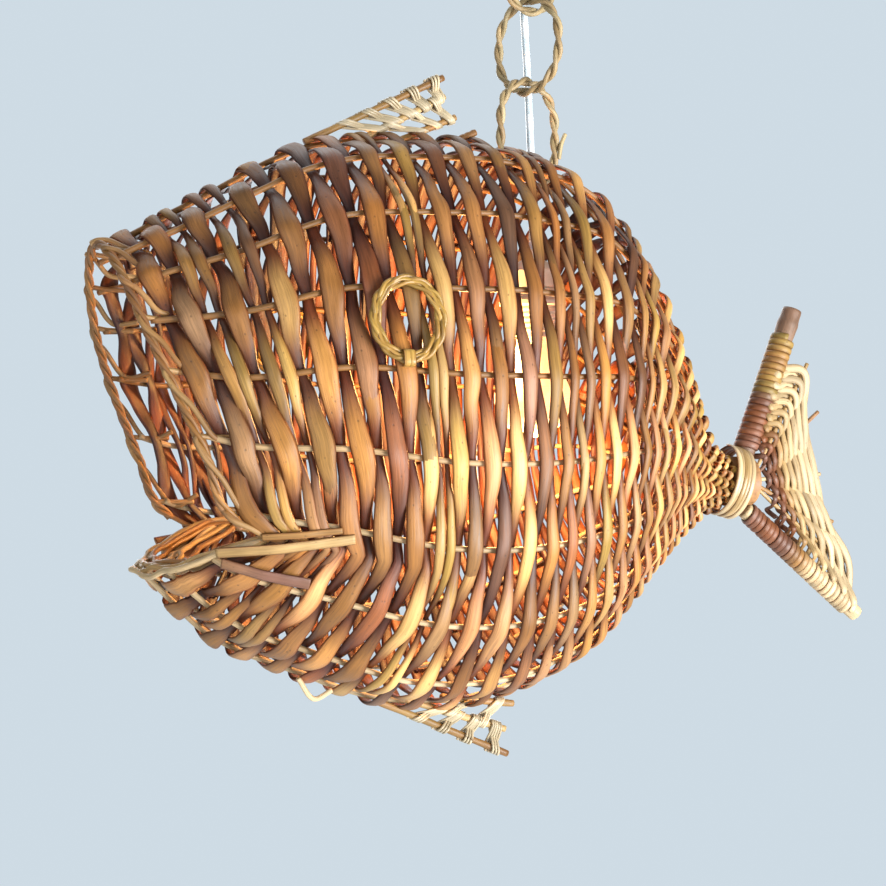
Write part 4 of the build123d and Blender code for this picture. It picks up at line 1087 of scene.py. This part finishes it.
def make_chain(scene):
    sizes, colours = scene.willow_sizes, scene.willow_colours
    for k, (name, height, top, turn) in enumerate((
            ("upper", sizes.ring_height, -.0533, CHAIN_TURN), ("middle", sizes.ring_height, -.1153, CHAIN_TURN + math.pi / 2),
            ("lower", sizes.lower_ring_height, -.1773, CHAIN_TURN))):
        sheaf = Sheaf()
        line, side = stadium(sizes.ring_width, height, top, turn)

        def shade(j, n, k=k):
            rng = np.random.default_rng(300 + 3 * k + j)
            return blended(rng, np.linspace(0, 14, n), np.array(colours.ring) * (1.0, .88)[j], colours.stake, .45, .10)
        rope(sheaf, line, side, 2, sizes.ply_diameter / 2, sizes.ply_diameter * .46, 6 if k < 2 else 7, shade, closed=True)
        if name == "lower":
            leg = line[np.argmax(line @ np.array((math.cos(turn), math.sin(turn), 0)))]
            leg = leg * [1, 1, 0] + [0, 0, -.2215]
            way = np.array((math.cos(turn), math.sin(turn), 0))
            path = through([leg + way * .0005 + [0, 0, -.012] - side * .004, leg + way * .003 - side * .0045,
                            leg + way * .008 + [0, 0, .008] - side * .004], 24)
            rod(sheaf, path, side, .0017, np.array(colours.ring), 8)
        sheaf.piece("twisted_ring_" + name, LOOKS["willow"], name + "_ring", "twisted_willow", ["chain_ring_" + name])


def chain_point(along, over, z):
    """A point beside the chain, from its place along and across the lower ring's plane."""
    c, s = math.cos(CHAIN_TURN), math.sin(CHAIN_TURN)
    return (along * c - over * s, along * s + over * c, z)


FLEX_ROUTE = (chain_point(.0075, .016, -.0145), chain_point(.0075, .016, -.060),
              chain_point(.016, .0095, -.2364), chain_point(.016, .0095, DATUM + .144))


def route_line(points):
    """The smooth line that a NURBS spline gives for a route's points."""
    curve = bpy.data.curves.new("route", "CURVE")
    curve.dimensions = "3D"
    curve.resolution_u = 40
    spline = curve.splines.new("NURBS")
    spline.points.add(len(points) - 1)
    for control, place in zip(spline.points, points):
        control.co = (*place, 1.0)
    spline.order_u = 3
    spline.use_endpoint_u = True
    holder = bpy.data.objects.new("route", curve)
    mesh = bpy.data.meshes.new_from_object(holder)
    line = np.zeros(len(mesh.vertices) * 3, np.float32)
    mesh.vertices.foreach_get("co", line)
    bpy.data.meshes.remove(mesh)
    bpy.data.curves.remove(curve)
    return line.reshape(-1, 3).astype(float)


def make_flex(scene):
    """The clear flex in five lengths, each in place of one CAD flex piece."""
    sizes = scene.willow_sizes
    line = route_line(FLEX_ROUTE)
    line = line[np.argsort(-line[:, 2], kind="stable")]
    cuts = (-.0145, -.090, -.1533, -.1985, -.2364, float(line[-1, 2]))
    names = ("ceiling", "upper", "middle", "lower", "lamp")
    for k, name in enumerate(names):
        z = np.linspace(cuts[k], cuts[k + 1], 40)
        path = np.stack([np.interp(-z, -line[:, 2], line[:, i]) for i in range(3)], -1)
        sheaf = Sheaf()
        rod(sheaf, path, (0, 1, 0), sizes.flex_diameter / 2, (1, 1, 1), 14, start=.5 + .0145 - z[0] - .5)
        piece = sheaf.piece("flex_run_" + name, LOOKS["flex"], None, "clear_flex", ["flex_" + name])
        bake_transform(piece)


# ------------------------------------------------------------------ looks of the fittings
LOOKS = {}


def make_looks(scene):
    """Every material, and those of the CAD pieces that show."""
    colours, lamp = scene.willow_colours, scene.willow_lamp
    LOOKS["willow"] = willow("willow", .54)
    LOOKS["skein"] = willow("straw_skein", .40, coat=.15, streak=.5, freckle=.25, relief=.35, edge=.25)
    LOOKS["flex"] = clear_flex("clear_flex", tuple(lamp.sheath), tuple(lamp.conductor))
    LOOKS["glass"] = lit_glass("lit_glass", tuple(lamp.glow), lamp.strength)
    cream = plain("holder_cream", (.78, .70, .55), .38, relief=.1)
    brass = plain("brass", (.70, .50, .20), .30, 1.0)
    zinc = plain("zinc_steel", (.55, .56, .57), .34, 1.0, relief=.1)
    paint = plain("white_paint", (.55, .55, .53), .42, relief=.12, Coat_Weight=.2)
    nylon = plain("white_nylon", (.76, .76, .73), .5)
    alloy = plain("cap_alloy", (.72, .72, .70), .28, 1.0)
    rod_look = plain("bark_rod", tuple(colours.stake), .55, scale=240.0, spread=.4, relief=.5)
    stem = lit_glass("lit_stem", tuple(lamp.glow), lamp.strength)
    for look, names in ((paint, ("rose_backplate", "rose_cover")), (zinc, ("rose_nut", "ceiling_hook")),
                        (nylon, ("cord_grip", "terminal_block")), (cream, ("holder_cap", "holder_skirt", "holder_ring")),
                        (brass, ("holder_contact", "bulb_contact")), (alloy, ("bulb_cap",)),
                        (LOOKS["glass"], ("bulb_glass",)), (stem, ("bulb_filament",)), (rod_look, ("hanging_rod", "tail_core"))):
        for name in names:
            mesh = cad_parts[name].data
            mesh.materials.clear()
            mesh.materials.append(look)


def make_glow(scene):
    """Warm light inside the basket."""
    lamp = scene.willow_lamp
    low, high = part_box("bulb_glass")
    power = lamp.power * .5
    for name, z in (("glow_low", low[2] - .014), ("glow_high", high[2] - .015)):
        data = bpy.data.lights.new(name, "POINT")
        data.energy = power
        data.color = lamp.glow
        data.shadow_soft_size = .02
        light = bpy.data.objects.new(name, data)
        x = (low[0] + high[0]) / 2 + (0.0 if z < low[2] else -.048)
        light.location = (x, (low[1] + high[1]) / 2, z)
        scene.collection.objects.link(light)
        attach(light, "lamp")


AMBIENT = .45


def make_stage(scene):
    """Camera, pale surroundings, floor and soft lights. The surroundings light the lamp by AMBIENT of what shows."""
    stage = scene.willow_stage
    target = np.array((-.072, 0.0, -.45469))
    turn = math.radians(-25)
    camera = bpy.data.objects.new("camera", bpy.data.cameras.new("camera"))
    camera.data.lens = 70.43
    camera.data.sensor_width = 36.0
    camera.location = target + 1.3 * np.array((math.sin(turn), -math.cos(turn), 0))
    camera.rotation_euler = (math.pi / 2, 0, turn)
    scene.collection.objects.link(camera)
    scene.camera = camera
    scene.view_settings.view_transform = "Standard"
    world = bpy.data.worlds.new("surroundings")
    scene.world = world
    world.use_nodes = True
    back = world.node_tree.nodes["Background"]
    back.inputs[0].default_value = (*stage.background, 1)
    tree = world.node_tree
    path = node(tree, "ShaderNodeLightPath", (-500, 200))
    level = node(tree, "ShaderNodeMapRange", (-260, 200), in_1=0.0, in_2=1.0, in_3=stage.background_strength * AMBIENT,
                 in_4=stage.background_strength)
    tree.links.new(path.outputs["Is Camera Ray"], level.inputs[0])
    tree.links.new(level.outputs[0], back.inputs[1])
    a = np.linspace(0, 2 * np.pi, 97)[:-1]
    ring = np.stack((7.0 * np.cos(a), 7.0 * np.sin(a), np.full_like(a, -3.1)), -1)
    mesh = bpy.data.meshes.new("floor")
    mesh.from_pydata([(0, 0, -3.1), *map(tuple, ring)], [], [(0, i + 1, (i + 1) % 96 + 1) for i in range(96)])
    floor = bpy.data.objects.new("floor", mesh)
    mesh.materials.append(plain("floor_paint", tuple(stage.floor), .8, scale=3.0, spread=.04,
                                Emission_Color=(*stage.floor, 1), Emission_Strength=.62))
    scene.collection.objects.link(floor)
    for name, place, size, power in (("key", (1.2, -2.3, -1.05), 1.7, stage.key),
                                     ("fill", (-2.2, -1.5, -.1), 2.2, stage.fill),
                                     ("top", (.2, 1.2, 1.6), 2.0, stage.top),
                                     ("back", (.6, 2.7, -.2), 2.2, stage.back)):
        data = bpy.data.lights.new(name, "AREA")
        data.energy, data.size = power, size
        light = bpy.data.objects.new(name, data)
        light.location = place
        aim = np.array(place) - target
        light.rotation_euler = (math.acos(aim[2] / np.linalg.norm(aim)), 0, math.atan2(aim[1], aim[0]) + math.pi / 2)
        scene.collection.objects.link(light)


# ------------------------------------------------------------------ settings
def colour(name, words, value):
    return FloatVectorProperty(name=name, description=words, default=value, subtype="COLOR", min=0.0, max=1.0)


def length(name, words, value):
    return FloatProperty(name=name, description=words, default=value, min=0.0, unit="LENGTH", precision=4)


def share_of_spacing(name, words, value):
    return FloatProperty(name=name, description=words, default=value, min=0.1, max=2.0)


class WillowSizes(bpy.types.PropertyGroup):
    """Sizes of the strips, rods, rings and flex."""
    head_cover: share_of_spacing("Head cover", "Width of the head's strips as a share of their spacing", 1.13)
    middle_cover: share_of_spacing("Middle cover", "Width of the middle's rods as a share of their spacing", 1.13)
    rear_cover: share_of_spacing("Rear cover", "Width of the rear's rods as a share of their spacing", 1.10)
    head_thickness: length("Head thickness", "Thickness of the split strips", .0032)
    middle_thickness: length("Middle thickness", "Thickness of the rods round the middle", .0046)
    rear_thickness: length("Rear thickness", "Thickness of the fine rods", .0040)
    weave_depth: length("Weave depth", "How far a strip goes in and out of the stakes", .0049)
    weave_inset: length("Weave inset", "How far the stakes lie inside the basket's outline", .0058)
    looseness: length("Looseness", "How far the head's strips wander", .0013)
    stake_diameter: length("Stakes", "Diameter of the stakes", .0045)
    eye_width: length("Eye width", "Width of the eye coils", .053)
    eye_height: length("Eye height", "Height of the eye coils", .061)
    ring_width: length("Ring width", "Width of the chain rings between centre lines", .0615)
    ring_height: length("Ring height", "Height of the two upper rings between centre lines", .070)
    lower_ring_height: length("Lower ring height", "Height of the lowest ring between centre lines", .081)
    ply_diameter: length("Ring ply", "Diameter of one of the two plies of a ring", .0039)
    flex_diameter: length("Flex", "Diameter of the flex", .006)


class WillowColours(bpy.types.PropertyGroup):
    """Colours of the willow and straw."""
    ochre: colour("Ochre", "Ochre willow", OCHRE)
    cream: colour("Cream", "Peeled willow", CREAM)
    tan: colour("Tan", "Buff willow", TAN)
    purple: colour("Purple", "Willow with purple bark", PURPLE)
    grey: colour("Grey", "Weathered willow", GREY)
    russet: colour("Russet", "Red-brown willow", RUSSET)
    olive: colour("Olive", "Willow with green bark", OLIVE)
    pink: colour("Pink", "Pinkish peeled willow", PINK)
    pale: colour("Pale", "Palest peeled willow", PALE)
    stake: colour("Stakes", "Stakes and fin rods", (.34, .165, .06))
    straw: colour("Straw", "Golden straw of the eye coils", STRAW)
    skein: colour("Skein", "Pale skein of the fins and straps", (.80, .66, .44))
    ring: colour("Rings", "Twisted willow of the chain", (.60, .47, .26))


class WillowLamp(bpy.types.PropertyGroup):
    """The bulb and the flex."""
    glow: colour("Glow", "Colour of the lit bulb", (1.0, .50, .16))
    strength: FloatProperty(name="Glass brightness", description="Brightness of the lit glass", default=1.5, min=0.0)
    power: FloatProperty(name="Inner light",
                         description="Light that the bulb gives", default=6.5, min=0.0, unit="POWER")
    sheath: colour("Sheath", "Clear skin of the flex", (.58, .68, .74))
    conductor: colour("Conductors", "Silvery wires in the flex", (.80, .85, .90))


class WillowStage(bpy.types.PropertyGroup):
    """Surroundings and studio lights."""
    background: colour("Background", "Colour behind the lamp", (.62, .71, .78))
    background_strength: FloatProperty(name="Background light",
                                       description="Strength of the surroundings", default=1.0, min=0.0)
    floor: colour("Floor", "Colour of the floor", (.70, .72, .73))
    key: FloatProperty(name="Key", description="Power of the key light", default=190.0, min=0.0, unit="POWER")
    fill: FloatProperty(name="Fill", description="Power of the fill light", default=34.0, min=0.0, unit="POWER")
    top: FloatProperty(name="Top",
                       description="Power of the light above and behind", default=34.0, min=0.0, unit="POWER")
    back: FloatProperty(name="Back",
                        description="Power of the light on the far side", default=70.0, min=0.0, unit="POWER")


# ------------------------------------------------------------------ operators
class PrepareLooks(bpy.types.Operator):
    """Make the materials and dress the fittings that show as they were packed"""
    bl_idname = "willow_fish.looks"
    bl_label = "Materials and fittings"

    def execute(self, context):
        make_looks(context.scene)
        return {"FINISHED"}


class WeaveHead(bpy.types.Operator):
    """Weave wide split strips round the head"""
    bl_idname = "willow_fish.head"
    bl_label = "Head weave"

    def execute(self, context):
        weave_zone(context.scene, "head")
        return {"FINISHED"}


class WeaveMiddle(bpy.types.Operator):
    """Weave rods round the middle"""
    bl_idname = "willow_fish.middle"
    bl_label = "Middle weave"

    def execute(self, context):
        weave_zone(context.scene, "middle")
        return {"FINISHED"}


class WeaveRear(bpy.types.Operator):
    """Weave fine rods round the rear"""
    bl_idname = "willow_fish.rear"
    bl_label = "Rear weave"

    def execute(self, context):
        weave_zone(context.scene, "rear")
        return {"FINISHED"}


class SetStakes(bpy.types.Operator):
    """Set the stakes from the mouth to the tie"""
    bl_idname = "willow_fish.stakes"
    bl_label = "Stakes"

    def execute(self, context):
        make_stakes(context.scene)
        return {"FINISHED"}


class FinishMouth(bpy.types.Operator):
    """Roll the mouth's edge and lay the loose rods in the jaw"""
    bl_idname = "willow_fish.mouth"
    bl_label = "Mouth"

    def execute(self, context):
        make_mouth(context.scene)
        return {"FINISHED"}


class CoilEyes(bpy.types.Operator):
    """Coil the straw eyes and strap them on"""
    bl_idname = "willow_fish.eyes"
    bl_label = "Eyes"

    def execute(self, context):
        make_eyes(context.scene)
        return {"FINISHED"}


class LashFins(bpy.types.Operator):
    """Set the fin rods and wind their skein"""
    bl_idname = "willow_fish.fins"
    bl_label = "Fins"

    def execute(self, context):
        make_fins(context.scene)
        return {"FINISHED"}


class WeaveTail(bpy.types.Operator):
    """Make the tail's branches, windings, ribs, wefts and binding"""
    bl_idname = "willow_fish.tail"
    bl_label = "Tail"

    def execute(self, context):
        make_tail(context.scene)
        return {"FINISHED"}


class TwistChain(bpy.types.Operator):
    """Twist the three willow rings"""
    bl_idname = "willow_fish.chain"
    bl_label = "Chain rings"

    def execute(self, context):
        make_chain(context.scene)
        return {"FINISHED"}


class HangFlex(bpy.types.Operator):
    """Run the clear flex down beside the chain"""
    bl_idname = "willow_fish.flex"
    bl_label = "Flex"

    def execute(self, context):
        make_flex(context.scene)
        return {"FINISHED"}


class LightBulb(bpy.types.Operator):
    """Light the basket from inside"""
    bl_idname = "willow_fish.glow"
    bl_label = "Inner light"

    def execute(self, context):
        make_glow(context.scene)
        return {"FINISHED"}


class SetStage(bpy.types.Operator):
    """Set the camera, surroundings and studio lights"""
    bl_idname = "willow_fish.stage"
    bl_label = "Stage"

    def execute(self, context):
        make_stage(context.scene)
        return {"FINISHED"}


STEPS_IN_ORDER = (PrepareLooks, SetStage, HangFlex, WeaveHead, WeaveMiddle, WeaveRear, SetStakes, FinishMouth, CoilEyes,
                  LashFins, WeaveTail, TwistChain, LightBulb)
GROUPS = (("willow_sizes", WillowSizes), ("willow_colours", WillowColours), ("willow_lamp", WillowLamp),
          ("willow_stage", WillowStage))


class WillowPanel(bpy.types.Panel):
    """The lamp's sizes, colours and pieces"""
    bl_idname = "VIEW3D_PT_willow_fish"
    bl_label = "Woven willow fish"
    bl_space_type = "VIEW_3D"
    bl_region_type = "UI"
    bl_category = "Willow Fish"

    def draw(self, context):
        for name, group in GROUPS:
            box = self.layout.box()
            for key in group.__annotations__:
                box.prop(getattr(context.scene, name), key)
        for step in STEPS_IN_ORDER:
            self.layout.operator(step.bl_idname)


def register():
    for _, group in GROUPS:
        bpy.utils.register_class(group)
    for step in STEPS_IN_ORDER:
        bpy.utils.register_class(step)
    bpy.utils.register_class(WillowPanel)
    for name, group in GROUPS:
        setattr(bpy.types.Scene, name, PointerProperty(type=group))


def unregister():
    for name, _ in GROUPS:
        delattr(bpy.types.Scene, name)
    bpy.utils.unregister_class(WillowPanel)
    for step in reversed(STEPS_IN_ORDER):
        bpy.utils.unregister_class(step)
    for _, group in reversed(GROUPS):
        bpy.utils.unregister_class(group)


def main():
    register()
    for step in STEPS_IN_ORDER:
        family, name = step.bl_idname.split(".")
        getattr(getattr(bpy.ops, family), name)()


if __name__ == "__main__":
    main()
